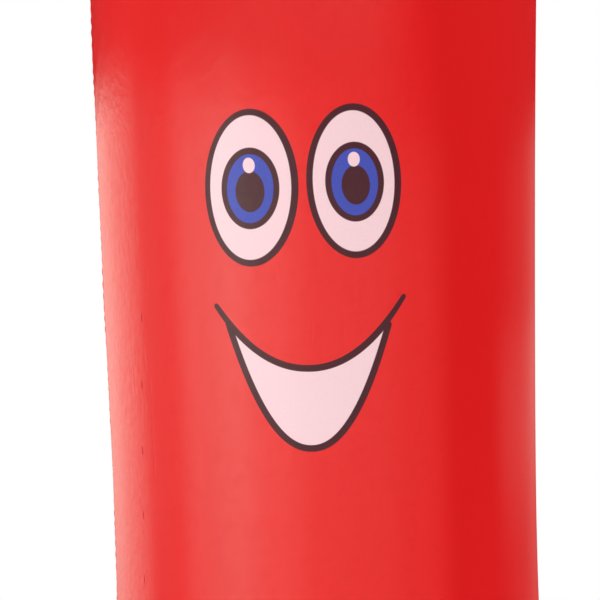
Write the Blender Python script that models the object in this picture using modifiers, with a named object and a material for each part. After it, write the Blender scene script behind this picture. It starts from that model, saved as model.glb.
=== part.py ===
"""Inflatable air dancer, standing on the open hem of its base.

A tall tube of thin nylon wrapped from one panel, with a domed crown panel sewn
on its top, a sleeve sewn over an air hole on each side, and fringed strips on
the crown's vent and on both sleeve ends. Every piece is cloth, modelled as a
wall of real thickness in the shape it takes when the tube is full of air.

Metres, +Z up. The face looks towards -Y, and the tube's one side seam is at -X.
Run it with: blender --background --python part.py
"""

import math

import bmesh
import bpy
from mathutils import Matrix, Vector

# ---------------------------------------------------------------- dimensions
GAP = 0.0003                 # between two pieces that are sewn edge to edge
CLOTH = 0.0016               # wall of one layer of cloth
HEM_CLOTH = 0.0030           # wall where the base is turned up twice
HEM_HEIGHT = 0.030

TUBE_RADIUS = 0.120
TUBE_HEIGHT = 1.740
TUBE_SEGMENTS = 64
TUBE_LEVEL_STEP = 0.145      # height between two rings of the plain tube
SWAY = 0.019                 # how far the tube's middle leans towards +X
SWAY_LENGTH = 1.800          # height over which it leans out and comes back
SHOULDER_SWELL = 0.004       # the tube is wider where the sleeves pull at it
SHOULDER_SPREAD = 0.100
SHOULDER_HEIGHT = 1.200
SHOULDER_BELOW = 0.200       # how far the solid that trims the sleeves reaches
SHOULDER_ABOVE = 0.150

BASE_WAVES = 5               # the hem is a little out of round where no air holds it
BASE_WAVE = 0.0015
BASE_WAVE_HEIGHT = 0.120
PUCKERS = 16                 # soft folds where the crown is sewn to the tube
PUCKER_DEPTH = 0.0011
PUCKER_HEIGHT = 0.028

CROWN_RISE = 0.055           # height of the crown's dome above the tube's edge
VENT_RADIUS = 0.045          # the crown's open middle
CROWN_STEPS = 6

SLEEVE_HEIGHT = 1.170        # where a sleeve's middle line leaves the tube
SLEEVE_LENGTH = 0.560
SLEEVE_ROOT_RADIUS = 0.050
SLEEVE_TIP_RADIUS = 0.045
SLEEVE_SEGMENTS = 24
SLEEVE_RING_STEP = 0.070
SLEEVE_START = -0.050        # the sleeve begins inside the tube and is cut there
AIR_HOLE_RADIUS = 0.046
AIR_HOLE_REACH = 0.060       # half the length of the cutter of an air hole
CREASE_WIDTH = 0.014         # half the width of a crease across a bent sleeve
CREASE_ROUND = 1.5           # how quickly a crease fades round the sleeve

RIBBON_CLOTH = 0.0014
BAND_HEIGHT = 0.016          # the strip that a row of ribbons is cut from
LEAST_LEAN = 2.0             # degrees, so that no ribbon crosses its band's axis

# Slopes are those of the sleeve's middle line at its root and tip, in degrees
# above level, and swing is how far the sleeve is turned towards the back.
SLEEVES = (
    {"side": "left", "towards": -1.0, "root_slope": 6.0, "tip_slope": 61.0, "swing": -7.0},
    {"side": "right", "towards": 1.0, "root_slope": 16.0, "tip_slope": 63.0, "swing": 9.0},
)

# Creases on the inner side of a sleeve's bend, placed by share of its length.
CREASES = (
    {"share": 0.36, "depth": 0.0070},
    {"share": 0.47, "depth": 0.0105},
    {"share": 0.58, "depth": 0.0065},
)

# A ribbon leaves its band at root_lean from the band's axis and ends at
# tip_lean. Lengths differ by the share uneven, and leans by flutter, in degrees.
# Ribbons on the band's lower side lean by fall more, and on its upper side less.
CROWN_FRINGE = {
    "ribbons": 14,
    "ribbon_share": 0.68,
    "length": 0.235,
    "uneven": 0.16,
    "steps": 8,
    "root_lean": 6.0,
    "tip_lean": 112.0,
    "flutter": 16.0,
    "fall": 0.0,
}
CUFF_FRINGE = {
    "ribbons": 12,
    "ribbon_share": 0.66,
    "length": 0.150,
    "uneven": 0.18,
    "steps": 6,
    "root_lean": 4.0,
    "tip_lean": 44.0,
    "flutter": 12.0,
    "fall": 34.0,
}

NYLON_RED = (0.80, 0.030, 0.030, 1.0)
NYLON_ROUGHNESS = 0.38
SHARP_EDGE = math.radians(40.0)


# ------------------------------------------------------------- scene helpers
def clear_scene():
    """Remove every object and collection that the file starts with."""
    for item in list(bpy.data.objects):
        bpy.data.objects.remove(item, do_unlink=True)
    for group in list(bpy.data.collections):
        bpy.data.collections.remove(group)


def new_collection(name):
    group = bpy.data.collections.new(name)
    bpy.context.scene.collection.children.link(group)
    return group


def nylon(name):
    """A red, slightly glossy coated nylon for one piece."""
    finish = bpy.data.materials.new(name)
    finish.use_nodes = True
    shader = finish.node_tree.nodes["Principled BSDF"]
    shader.inputs["Base Color"].default_value = NYLON_RED
    shader.inputs["Roughness"].default_value = NYLON_ROUGHNESS
    shader.inputs["Metallic"].default_value = 0.0
    finish.diffuse_color = NYLON_RED
    return finish


def add_object(name, shape, collection):
    """Make an object of a closed or open bmesh, with its faces outwards."""
    bmesh.ops.recalc_face_normals(shape, faces=shape.faces[:])
    if shape.calc_volume(signed=True) < 0.0:
        bmesh.ops.reverse_faces(shape, faces=shape.faces[:])
    mesh = bpy.data.meshes.new(name)
    shape.to_mesh(mesh)
    shape.free()
    mesh.shade_smooth()
    mesh.set_sharp_from_angle(angle=SHARP_EDGE)
    item = bpy.data.objects.new(name, mesh)
    collection.objects.link(item)
    return item


def add_cloth(name, shape, collection):
    """Make a piece of the dancer, in nylon of its own."""
    item = add_object(name, shape, collection)
    item.data.materials.append(nylon(name + "_nylon"))
    return item


def add_cutter(name, shape, collection):
    item = add_object(name, shape, collection)
    item.hide_render = True
    item.display_type = "WIRE"
    return item


def cut(item, cutter):
    knife = item.modifiers.new("cut_" + cutter.name, "BOOLEAN")
    knife.operation = "DIFFERENCE"
    knife.solver = "EXACT"
    knife.object = cutter


# ------------------------------------------------------------ the tube's form
def sway(height):
    """Sideways place of the tube's middle line: out to +X and back again."""
    return 0.5 * SWAY * (1.0 - math.cos(2.0 * math.pi * height / SWAY_LENGTH))


def swell(height):
    """Extra radius of the tube around the height of its sleeves."""
    away = (height - SHOULDER_HEIGHT) / SHOULDER_SPREAD
    return SHOULDER_SWELL * math.exp(-(away**2))


def folds(height, turn):
    """Extra radius of the base's waves and of the puckers at the crown's seam."""
    waves = BASE_WAVE * math.sin(BASE_WAVES * turn) * math.exp(-height / BASE_WAVE_HEIGHT)
    uneven = 1.0 + 0.35 * math.sin(3.0 * turn + 1.0)
    fade = math.exp(-abs(height - TUBE_HEIGHT) / PUCKER_HEIGHT)
    return waves + PUCKER_DEPTH * uneven * math.cos(PUCKERS * turn) * fade


def tube_levels():
    """Heights of the tube's rings: even, with more at the sleeves and the top."""
    count = round(TUBE_HEIGHT / TUBE_LEVEL_STEP)
    levels = {TUBE_HEIGHT * number / count for number in range(1, count + 1)}
    levels |= {SHOULDER_HEIGHT - SHOULDER_SPREAD, SHOULDER_HEIGHT + SHOULDER_SPREAD}
    levels |= {TUBE_HEIGHT - PUCKER_HEIGHT, TUBE_HEIGHT - 2.5 * PUCKER_HEIGHT}
    return [0.0, HEM_HEIGHT] + sorted(levels)


def turned(profile, closed=True):
    """Spin a (radius, height) profile about Z, then give it sway, swell and folds.

    A closed profile makes a wall, and an open one a skin with its ends filled.
    """
    shape = bmesh.new()
    verts = [shape.verts.new((radius, 0.0, height)) for radius, height in profile]
    followers = verts[1:] + verts[:1] if closed else verts[1:]
    edges = [shape.edges.new(pair) for pair in zip(verts, followers)]
    bmesh.ops.spin(
        shape,
        geom=verts + edges,
        cent=(0.0, 0.0, 0.0),
        axis=(0.0, 0.0, 1.0),
        dvec=(0.0, 0.0, 0.0),
        angle=2.0 * math.pi,
        steps=TUBE_SEGMENTS,
        use_merge=True,
    )
    if not closed:
        bmesh.ops.holes_fill(shape, edges=shape.edges[:], sides=0)
    for vert in shape.verts:
        radius, height = math.hypot(vert.co.x, vert.co.y), vert.co.z
        turn = math.atan2(vert.co.y, vert.co.x)
        grow = (radius + swell(height) + folds(height, turn)) / radius
        vert.co.x = vert.co.x * grow + sway(height)
        vert.co.y = vert.co.y * grow
    return shape


def make_tube(collection):
    """The wrapped panel, with its base turned up into a thicker hem."""
    levels = tube_levels()
    outer = [(TUBE_RADIUS, height) for height in levels]
    plain = [(TUBE_RADIUS - CLOTH, height) for height in levels if height >= HEM_HEIGHT]
    hem = [(TUBE_RADIUS - HEM_CLOTH, height) for height in (HEM_HEIGHT, 0.0)]
    return add_cloth("body_tube", turned(outer + plain[::-1] + hem), collection)


def make_crown(collection):
    """The domed panel on the tube's top, open in its middle as a vent."""
    foot = TUBE_HEIGHT + GAP
    across = TUBE_RADIUS - VENT_RADIUS
    turns = [0.5 * math.pi * number / CROWN_STEPS for number in range(CROWN_STEPS + 1)]

    def dome(inset):
        return [
            (
                VENT_RADIUS + (across - inset) * math.cos(turn),
                foot + (CROWN_RISE - inset) * math.sin(turn),
            )
            for turn in turns
        ]

    return add_cloth("crown_panel", turned(dome(0.0) + dome(CLOTH)[::-1]), collection)


def make_shoulder_cutter(collection):
    """The tube's outer form and the seam gap, solid, around its sleeves."""
    low, high = SHOULDER_HEIGHT - SHOULDER_BELOW, SHOULDER_HEIGHT + SHOULDER_ABOVE
    side = [(TUBE_RADIUS + GAP, height) for height in tube_levels() if low <= height <= high]
    return add_cutter("shoulder_form", turned(side, closed=False), collection)


# --------------------------------------------------------------- the sleeves
class SleeveLine:
    """A sleeve's middle line: an arc of even bend in one upright plane."""

    def __init__(self, row):
        swing = math.radians(row["swing"])
        self.out = Vector((row["towards"] * math.cos(swing), math.sin(swing), 0.0))
        self.up = Vector((0.0, 0.0, 1.0))
        self.root_slope = math.radians(row["root_slope"])
        self.bend = math.radians(row["tip_slope"] - row["root_slope"]) / SLEEVE_LENGTH
        reach = TUBE_RADIUS + swell(SLEEVE_HEIGHT)
        self.root = Vector((sway(SLEEVE_HEIGHT), 0.0, SLEEVE_HEIGHT)) + reach * self.out

    def middle(self, along):
        if along <= 0.0:
            run, rise = along * math.cos(self.root_slope), along * math.sin(self.root_slope)
        else:
            slope = self.root_slope + self.bend * along
            run = (math.sin(slope) - math.sin(self.root_slope)) / self.bend
            rise = (math.cos(self.root_slope) - math.cos(slope)) / self.bend
        return self.root + run * self.out + rise * self.up

    def place(self, along):
        """Matrix whose X is the bend's inner side and whose Z runs on along the line."""
        slope = self.root_slope + self.bend * max(along, 0.0)
        heading = math.cos(slope) * self.out + math.sin(slope) * self.up
        inner_side = math.cos(slope) * self.up - math.sin(slope) * self.out
        columns = Matrix((inner_side, heading.cross(inner_side), heading)).transposed()
        return Matrix.Translation(self.middle(along)) @ columns.to_4x4()


def sleeve_rings():
    """Places of the rings between a sleeve's ends, with three at each crease."""
    creases = [crease["share"] * SLEEVE_LENGTH for crease in CREASES]
    count = round(SLEEVE_LENGTH / SLEEVE_RING_STEP)
    plain = [SLEEVE_LENGTH * number / count for number in range(count)]
    rings = [ring for ring in plain if min(abs(ring - at) for at in creases) > 2.0 * CREASE_WIDTH]
    for at in creases:
        rings += [at - CREASE_WIDTH, at, at + CREASE_WIDTH]
    return sorted(rings)


def sleeve_radius(along, turn):
    """Radius at a place along the sleeve, turn being 0 on its inner side."""
    share = min(max(along / SLEEVE_LENGTH, 0.0), 1.0)
    radius = SLEEVE_ROOT_RADIUS + (SLEEVE_TIP_RADIUS - SLEEVE_ROOT_RADIUS) * share
    inner = max(math.cos(turn), 0.0) ** CREASE_ROUND
    for crease in CREASES:
        away = (along - crease["share"] * SLEEVE_LENGTH) / CREASE_WIDTH
        radius -= crease["depth"] * inner * math.exp(-(away**2))
    return radius


def make_sleeve(row, shoulder_cutter, collection):
    """A straight open tube cut into rings, bent on its line, walled and trimmed."""
    line = SleeveLine(row)
    shape = bmesh.new()
    bmesh.ops.create_cone(
        shape,
        cap_ends=False,
        segments=SLEEVE_SEGMENTS,
        radius1=SLEEVE_ROOT_RADIUS,
        radius2=SLEEVE_ROOT_RADIUS,
        depth=SLEEVE_LENGTH - SLEEVE_START,
    )
    to_start = Vector((0.0, 0.0, 0.5 * (SLEEVE_LENGTH + SLEEVE_START)))
    bmesh.ops.translate(shape, vec=to_start, verts=shape.verts)
    for ring in sleeve_rings():
        everything = shape.verts[:] + shape.edges[:] + shape.faces[:]
        bmesh.ops.bisect_plane(shape, geom=everything, plane_co=(0.0, 0.0, ring), plane_no=(0.0, 0.0, 1.0))
    for vert in shape.verts:
        along, turn = vert.co.z, math.atan2(vert.co.y, vert.co.x)
        spoke = Vector((math.cos(turn), math.sin(turn), 0.0))
        vert.co = line.place(along) @ (sleeve_radius(along, turn) * spoke)

    sleeve = add_cloth(row["side"] + "_sleeve", shape, collection)
    wall = sleeve.modifiers.new("cloth_wall", "SOLIDIFY")
    wall.thickness = CLOTH
    wall.offset = -1.0
    wall.use_even_offset = True
    cut(sleeve, shoulder_cutter)


def make_air_hole_cutter(row, collection):
    """A round plug along the sleeve's root, which opens the tube's wall."""
    shape = bmesh.new()
    bmesh.ops.create_cone(
        shape,
        cap_ends=True,
        segments=SLEEVE_SEGMENTS,
        radius1=AIR_HOLE_RADIUS,
        radius2=AIR_HOLE_RADIUS,
        depth=2.0 * AIR_HOLE_REACH,
    )
    bmesh.ops.transform(shape, matrix=SleeveLine(row).place(0.0), verts=shape.verts)
    return add_cutter(row["side"] + "_air_hole", shape, collection)


# --------------------------------------------------------------- the fringes
def make_band(fringe, radius):
    """A ring of wide tabs and narrow gaps about Z, and the top faces of its tabs."""
    pitch = 2.0 * math.pi / fringe["ribbons"]
    half_tab = 0.5 * pitch * fringe["ribbon_share"]
    shape = bmesh.new()
    verts = []
    for number in range(fringe["ribbons"]):
        for turn in (number * pitch - half_tab, number * pitch + half_tab):
            verts.append(shape.verts.new((radius * math.cos(turn), radius * math.sin(turn), 0.0)))
    edges = [shape.edges.new(pair) for pair in zip(verts, verts[1:] + verts[:1])]

    grown = bmesh.ops.extrude_edge_only(shape, edges=edges)["geom"]
    inner = [part for part in grown if isinstance(part, bmesh.types.BMVert)]
    shrink = (radius - RIBBON_CLOTH) / radius
    bmesh.ops.scale(shape, vec=(shrink, shrink, 1.0), verts=inner)
    grown = bmesh.ops.extrude_face_region(shape, geom=shape.faces[:])["geom"]
    top = [part for part in grown if isinstance(part, bmesh.types.BMVert)]
    bmesh.ops.translate(shape, vec=(0.0, 0.0, BAND_HEIGHT), verts=top)

    tabs = {}
    for face in (part for part in grown if isinstance(part, bmesh.types.BMFace)):
        middle = face.calc_center_median()
        place = math.atan2(middle.y, middle.x) / pitch
        if abs(place - round(place)) < 0.25:
            tabs[round(place) % fringe["ribbons"]] = face
    return shape, [tabs[number] for number in sorted(tabs)]


def ribbon_leans(fringe, number, upward):
    """One ribbon's lean from the band's axis at each step, and the step's length."""
    steps = fringe["steps"]
    length = fringe["length"] * (1.0 + fringe["uneven"] * math.sin(3.0 * number + 0.5))
    tip_lean = fringe["tip_lean"] + fringe["flutter"] * math.sin(5.0 * number + 1.0)
    tip_lean -= fringe["fall"] * upward
    leans = []
    for part in range(steps):
        share = (part + 0.5) / steps
        wave = fringe["flutter"] * math.sin(2.0 * math.pi * share + 2.3 * number) * share
        lean = fringe["root_lean"] + (tip_lean - fringe["root_lean"]) * share + wave
        leans.append(math.radians(max(lean, LEAST_LEAN)))
    return leans, length / steps


def make_fringe(name, fringe, place, radius, collection):
    """A band round an open edge, with a ribbon grown from each of its tabs.

    Each tab's top face is extruded step by step along the ribbon's own curve,
    which stays in one plane through the band's axis, so no two ribbons meet.
    """
    shape, tabs = make_band(fringe, radius)
    for number, face in enumerate(tabs):
        turn = 2.0 * math.pi * number / fringe["ribbons"]
        side = Vector((math.cos(turn), math.sin(turn), 0.0))
        hinge = Vector((-side.y, side.x, 0.0))
        seat = face.calc_center_median()
        face_lean = 0.0
        leans, step = ribbon_leans(fringe, number, (place.to_3x3() @ side).z)
        for lean, next_lean in zip(leans, leans[1:] + leans[-1:]):
            joint_lean = 0.5 * (lean + next_lean)
            face = bmesh.ops.extrude_discrete_faces(shape, faces=[face])["faces"][0]
            tilt = Matrix.Rotation(joint_lean - face_lean, 3, hinge)
            bmesh.ops.rotate(shape, cent=seat, matrix=tilt, verts=face.verts)
            move = step * Vector((math.sin(lean) * side.x, math.sin(lean) * side.y, math.cos(lean)))
            bmesh.ops.translate(shape, vec=move, verts=face.verts)
            seat = seat + move
            face_lean = joint_lean
    bmesh.ops.transform(shape, matrix=place, verts=shape.verts)
    add_cloth(name, shape, collection)


def main():
    clear_scene()
    pieces = new_collection("inflatable_air_dancer")
    cutters = new_collection("cutters")

    tube = make_tube(pieces)
    make_crown(pieces)
    vent_edge = TUBE_HEIGHT + GAP + CROWN_RISE
    vent_place = Matrix.Translation((sway(vent_edge), 0.0, vent_edge + GAP))
    make_fringe("crown_streamers", CROWN_FRINGE, vent_place, VENT_RADIUS + RIBBON_CLOTH, pieces)

    shoulder_cutter = make_shoulder_cutter(cutters)
    for row in SLEEVES:
        cut(tube, make_air_hole_cutter(row, cutters))
        make_sleeve(row, shoulder_cutter, pieces)
        cuff_place = SleeveLine(row).place(SLEEVE_LENGTH) @ Matrix.Translation((0.0, 0.0, GAP))
        make_fringe(row["side"] + "_cuff_streamers", CUFF_FRINGE, cuff_place, SLEEVE_TIP_RADIUS, pieces)


main()
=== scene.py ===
"""Inflatable air dancer in fine cloth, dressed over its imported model.

A tall tube of coated nylon with a printed smiling face, a domed crown, two bent
sleeves and three fringes of ribbons, all sewn with dark red thread. Every piece
is a thin wall of cloth in the shape that it takes when the tube is full of air.
Metres, +Z up. The face looks towards -Y, and the side seam is at -X.
"""
import logging
from dataclasses import dataclass, field
from enum import Enum
from functools import reduce
from math import atan2, copysign, cos, exp, floor, hypot, pi, radians, sin, tau
from operator import add
from typing import Callable, Iterator, Sequence

import bmesh
import bpy
from mathutils import Matrix, Vector


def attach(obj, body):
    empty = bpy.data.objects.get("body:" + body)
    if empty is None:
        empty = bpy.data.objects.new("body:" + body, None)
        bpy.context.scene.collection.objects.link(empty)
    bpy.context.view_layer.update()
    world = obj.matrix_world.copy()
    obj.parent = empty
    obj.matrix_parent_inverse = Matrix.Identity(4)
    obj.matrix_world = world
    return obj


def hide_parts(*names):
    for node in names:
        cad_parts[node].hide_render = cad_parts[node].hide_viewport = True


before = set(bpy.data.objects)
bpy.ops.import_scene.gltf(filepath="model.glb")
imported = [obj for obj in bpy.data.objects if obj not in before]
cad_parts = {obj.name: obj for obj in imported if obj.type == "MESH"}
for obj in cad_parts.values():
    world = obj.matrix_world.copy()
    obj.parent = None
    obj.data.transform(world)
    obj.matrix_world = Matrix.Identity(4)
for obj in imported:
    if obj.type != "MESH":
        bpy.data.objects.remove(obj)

LOG = logging.getLogger("air_dancer")
BODY = "root"
ARMS = ("left_", "right_")
CLOTH_MAP = "cloth"          # flat cloth coordinates in metres
BAKE_MAP = "OFBake"          # 0..1, with most room for the printed face
SEWN_GAP = 0.0003            # between two pieces that are sewn edge to edge
STREAMER_GAP = 0.0014        # from the vent's edge out to the crown's streamers
MM = 0.001
UP = Vector((0.0, 0.0, 1.0))

Pair = tuple[float, float]
Wave = tuple[float, float, float]
Colour = tuple[float, float, float, float]
Path = Callable[[float], tuple[Vector, Vector]]
Shape = bmesh.types.BMesh
Edge = bmesh.types.BMEdge
Face = bmesh.types.BMFace
Vert = bmesh.types.BMVert
Material = bpy.types.Material
Piece = bpy.types.Object


# --- small helpers
def eased(low: float, high: float, value: float) -> float:
    """Return 0 below low, 1 above high and a smooth rise between them."""
    share = min(max((value - low) / (high - low), 0.0), 1.0)
    return share * share * (3.0 - 2.0 * share)


def bell(away: float) -> float:
    """Return 1 at 0, and less and less on both sides of it."""
    return exp(-(away**2))


def waves(place: float, parts: Sequence[Wave]) -> float:
    """Add up sine waves at a place, each given by its height, rate and start."""
    return sum(height * sin(rate * place + start) for height, rate, start in parts)


def gather(turn: float) -> float:
    """Return the uneven fine puckers of a cloth that is sewn round an edge."""
    return sin(41.0 * turn + 1.3 * sin(5.0 * turn)) * (0.8 + 0.3 * sin(7.0 * turn))


def nearest(turn: float) -> float:
    """Return the same turn, from half a turn back to half a turn ahead."""
    return turn - tau * round(turn / tau)


def spoke(turn: float) -> Vector:
    """Return the level direction at a turn about Z."""
    return Vector((cos(turn), sin(turn), 0.0))


def around(at_turn: Path) -> Path:
    """Make a closed path, for shares from 0 to 1, of one that is given by its turn."""
    return lambda share: at_turn(tau * (share % 1.0) - pi)


def set_up(spot: Vector, right: Vector, ahead: Vector, up: Vector) -> Matrix:
    """Return the matrix that sets a thing up at a spot along three axes."""
    return Matrix.Translation(spot) @ Matrix((right, ahead, up)).transposed().to_4x4()


def graded(start: float, zones: Sequence[Pair]) -> list[float]:
    """List levels from start, with an even step in each zone.

    Args:
        start: The first level.
        zones: Pairs of a zone's last level and the step wanted in it.

    Returns:
        The levels, rising, with every zone's last level among them.
    """
    levels = [start]
    for end, step in zones:
        first = levels[-1]
        count = max(1, round((end - first) / step))
        levels += [first + (end - first) * number / count for number in range(1, count + 1)]
    return levels


def face_out(shape: Shape, outer: Sequence[Face] = ()) -> None:
    """Turn a shape's faces outwards.

    Args:
        shape: The shape round Z.
        outer: Faces that have to look away from Z, where the shape isn't closed.
    """
    bmesh.ops.recalc_face_normals(shape, faces=shape.faces[:])
    if outer:
        # one face alone may have no area, and then it looks nowhere
        facing = sum(face.normal.xy.dot(face.calc_center_median().xy) for face in outer)
    else:
        facing = shape.calc_volume(signed=True)
    if facing < 0.0:
        bmesh.ops.reverse_faces(shape, faces=shape.faces[:])


def lathe(profile: Sequence[Pair], columns: int) -> Shape:
    """Spin a closed profile once about Z.

    Args:
        profile: Radius and height of each corner, going round the profile.
        columns: How many steps the turn is made in.

    Returns:
        A closed ring of quads with its seam merged.
    """
    shape = bmesh.new()
    corners = [shape.verts.new((radius, 0.0, height)) for radius, height in profile]
    edges = [shape.edges.new(pair) for pair in zip(corners, corners[1:] + corners[:1])]
    bmesh.ops.spin(
        shape,
        geom=corners + edges,
        cent=(0.0, 0.0, 0.0),
        axis=UP,
        dvec=(0.0, 0.0, 0.0),
        angle=tau,
        steps=columns,
        use_merge=True,
    )
    face_out(shape)
    return shape


def unrolled(
    shape: Shape, sway: Callable[[float], float] = lambda height: 0.0
) -> Iterator[tuple[Face, list[tuple[bmesh.types.BMLoop, float]]]]:
    """Give each face of a round shape with its corners' turns, unbroken across the face.

    Args:
        shape: A shape round Z.
        sway: Gives the sideways place of its middle line at a height.

    Yields:
        The face, and its loops with the turn of each.
    """
    for face in shape.faces:
        middle = face.calc_center_median()
        middle_turn = atan2(middle.y, middle.x - sway(middle.z))
        corners = []
        for loop in face.loops:
            spot = loop.vert.co
            turn = atan2(spot.y, spot.x - sway(spot.z))
            if abs(turn - middle_turn) > pi:
                turn += copysign(tau, middle_turn)
            corners.append((loop, turn))
        yield face, corners


def in_scene(name: str, data: bpy.types.ID) -> Piece:
    """Put a mesh, lamp or camera in the scene as an object.

    Args:
        name: The object's name.
        data: The mesh, lamp or camera.

    Returns:
        The object.
    """
    thing = bpy.data.objects.new(name, data)
    bpy.context.scene.collection.objects.link(thing)
    return thing


def finished_piece(
    name: str, shape: Shape, finish: Material, slot: str, replaced: Sequence[str] = ()
) -> Piece:
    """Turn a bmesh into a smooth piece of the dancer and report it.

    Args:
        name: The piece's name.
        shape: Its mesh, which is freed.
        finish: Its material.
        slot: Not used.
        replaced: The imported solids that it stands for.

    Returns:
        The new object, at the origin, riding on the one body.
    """
    mesh = bpy.data.meshes.new(name)
    shape.to_mesh(mesh)
    shape.free()
    mesh.shade_smooth()
    mesh.materials.append(finish)
    piece = in_scene(name, mesh)
    # the arms leave the gloss of the body clear
    piece.visible_glossy = not name.startswith(ARMS)
    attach(piece, BODY)
    if replaced:
        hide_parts(*replaced)
    LOG.info("%s: %d faces", name, len(mesh.polygons))
    return piece


def add_wall(piece: Piece, thickness: float) -> None:
    """Give a single layer of cloth its thickness, inwards.

    Args:
        piece: The single layer.
        thickness: The wall's thickness.
    """
    wall = piece.modifiers.new("cloth_wall", "SOLIDIFY")
    wall.thickness = thickness
    wall.offset = -1.0
    wall.use_even_offset = True
    wall.use_rim = True


# --- node helpers
def feed(socket: bpy.types.NodeSocket, value: object) -> None:
    """Link a value into a socket, or set the number that the socket holds.

    Args:
        socket: A node's input.
        value: A Value, or a plain number or colour.
    """
    if isinstance(value, Value):
        value.tree.links.new(value.socket, socket)
    else:
        socket.default_value = value


def add_node(
    tree: bpy.types.NodeTree, kind: str, inputs: dict[object, object], **settings: object
) -> bpy.types.Node:
    """Add a node to a tree.

    Args:
        tree: A material's or the world's tree.
        kind: The node's type.
        inputs: What each input gets, by its name or number.
        settings: The node's own settings.

    Returns:
        The node.
    """
    node = tree.nodes.new(kind)
    for name, setting in settings.items():
        setattr(node, name, setting)
    for name, value in inputs.items():
        feed(node.inputs[name], value)
    return node


@dataclass(frozen=True)
class Value:
    """A number, colour or vector that runs through a node tree.

    Sums, differences, products, quotients and powers of values add Math nodes.
    """

    tree: bpy.types.NodeTree
    socket: bpy.types.NodeSocket

    @classmethod
    def read(cls, tree: bpy.types.NodeTree, kind: str, output: str, **settings: object) -> "Value":
        """Start from what a node without inputs gives."""
        return cls(tree, add_node(tree, kind, {}, **settings).outputs[output])

    def then(
        self, kind: str, inputs: dict[object, object], output: object = 0, **settings: object
    ) -> "Value":
        """Run on through one more node of the same tree."""
        return Value(self.tree, add_node(self.tree, kind, inputs, **settings).outputs[output])

    def math(self, operation: str, *others: object, clamp: bool = False) -> "Value":
        """Add a Math node whose first number is this value."""
        inputs = dict(enumerate((self, *others)))
        return self.then("ShaderNodeMath", inputs, operation=operation, use_clamp=clamp)

    def __add__(self, other: object) -> "Value":
        """Add another value."""
        return self.math("ADD", other)

    def __sub__(self, other: object) -> "Value":
        """Take another value away."""
        return self.math("SUBTRACT", other)

    def __rsub__(self, other: float) -> "Value":
        """Take this value away from a number."""
        return self.math("MULTIPLY_ADD", -1.0, other)

    def __mul__(self, other: object) -> "Value":
        """Multiply by another value."""
        return self.math("MULTIPLY", other)

    def __truediv__(self, other: object) -> "Value":
        """Divide by another value."""
        return self.math("DIVIDE", other)

    def __pow__(self, power: float) -> "Value":
        """Raise to a power."""
        return self.math("POWER", power)

    def __abs__(self) -> "Value":
        """Drop the sign."""
        return self.math("ABSOLUTE")

    def smooth(self, low: float, high: float) -> "Value":
        """Rise smoothly from 0 at low to 1 at high, or fall where low is the greater.

        Args:
            low: Where the result is 0.
            high: Where the result is 1.

        Returns:
            The result, from 0 to 1.
        """
        ends = (low, high, 0.0, 1.0) if low <= high else (high, low, 1.0, 0.0)
        inputs = dict(zip(("Value", "From Min", "From Max", "To Min", "To Max"), (self, *ends)))
        settings = {"interpolation_type": "SMOOTHSTEP", "clamp": True}
        return self.then("ShaderNodeMapRange", inputs, "Result", **settings)

    def parts(self) -> tuple["Value", ...]:
        """Split a vector into its three numbers."""
        node = add_node(self.tree, "ShaderNodeSeparateXYZ", {0: self})
        return tuple(Value(self.tree, output) for output in node.outputs)

    def scaled(self, factor: float) -> "Value":
        """Multiply a vector by a number."""
        return self.then("ShaderNodeVectorMath", {0: self, "Scale": factor}, operation="SCALE")

    def length(self) -> "Value":
        """Measure a vector."""
        return self.then("ShaderNodeVectorMath", {0: self}, "Value", operation="LENGTH")

    def placed(
        self, centre: Pair = (0.0, 0.0), tilt: float = 0.0, size: Pair = (1.0, 1.0)
    ) -> "Value":
        """Measure a place from another centre, along turned axes.

        Args:
            centre: The new centre.
            tilt: The turn of the new axes, in radians.
            size: The new units.

        Returns:
            The place in the new measure.
        """
        inputs = {
            "Vector": self,
            "Location": (*centre, 0.0),
            "Rotation": (0.0, 0.0, tilt),
            "Scale": (*size, 1.0),
        }
        return self.then("ShaderNodeMapping", inputs, vector_type="TEXTURE")

    def noise(self, scale: float, detail: float = 2.0, rough: float = 0.5) -> "Value":
        """Read a noise pattern at this place, from 0 to 1."""
        inputs = {"Vector": self, "Scale": scale, "Detail": detail, "Roughness": rough}
        return self.then("ShaderNodeTexNoise", inputs, "Fac", noise_dimensions="3D")

    def blend(self, first: object, second: object) -> "Value":
        """Mix two colours, this value being the second one's share."""
        inputs = {0: self, 6: first, 7: second}
        return self.then("ShaderNodeMix", inputs, 2, data_type="RGBA", blend_type="MIX")

    def normal(self) -> "Value":
        """Turn a fine height in metres into a surface's normal."""
        return self.then("ShaderNodeBump", {"Height": self, "Strength": 1.0, "Distance": 1.0})


def largest(values: Sequence[object]) -> Value:
    """Return the largest of several values, of which the first isn't a plain number."""
    return reduce(lambda most, value: most.math("MAXIMUM", value), values)


# --- finishes
@dataclass(frozen=True)
class Finish:
    """What one material is called, its plain colour and what its shader gets."""

    name: str
    colour: Colour

    def inputs(self, tree: bpy.types.NodeTree) -> dict[str, object]:
        """List what the shader's inputs get, and add the nodes for it to the tree."""
        raise NotImplementedError

    def material(self) -> Material:
        """Build the finish as a material.

        Returns:
            The material.
        """
        finish = bpy.data.materials.new(self.name)
        finish.use_nodes = True
        finish.diffuse_color = self.colour
        shader = finish.node_tree.nodes["Principled BSDF"]
        for name, value in self.inputs(finish.node_tree).items():
            feed(shader.inputs[name], value)
        return finish


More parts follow.
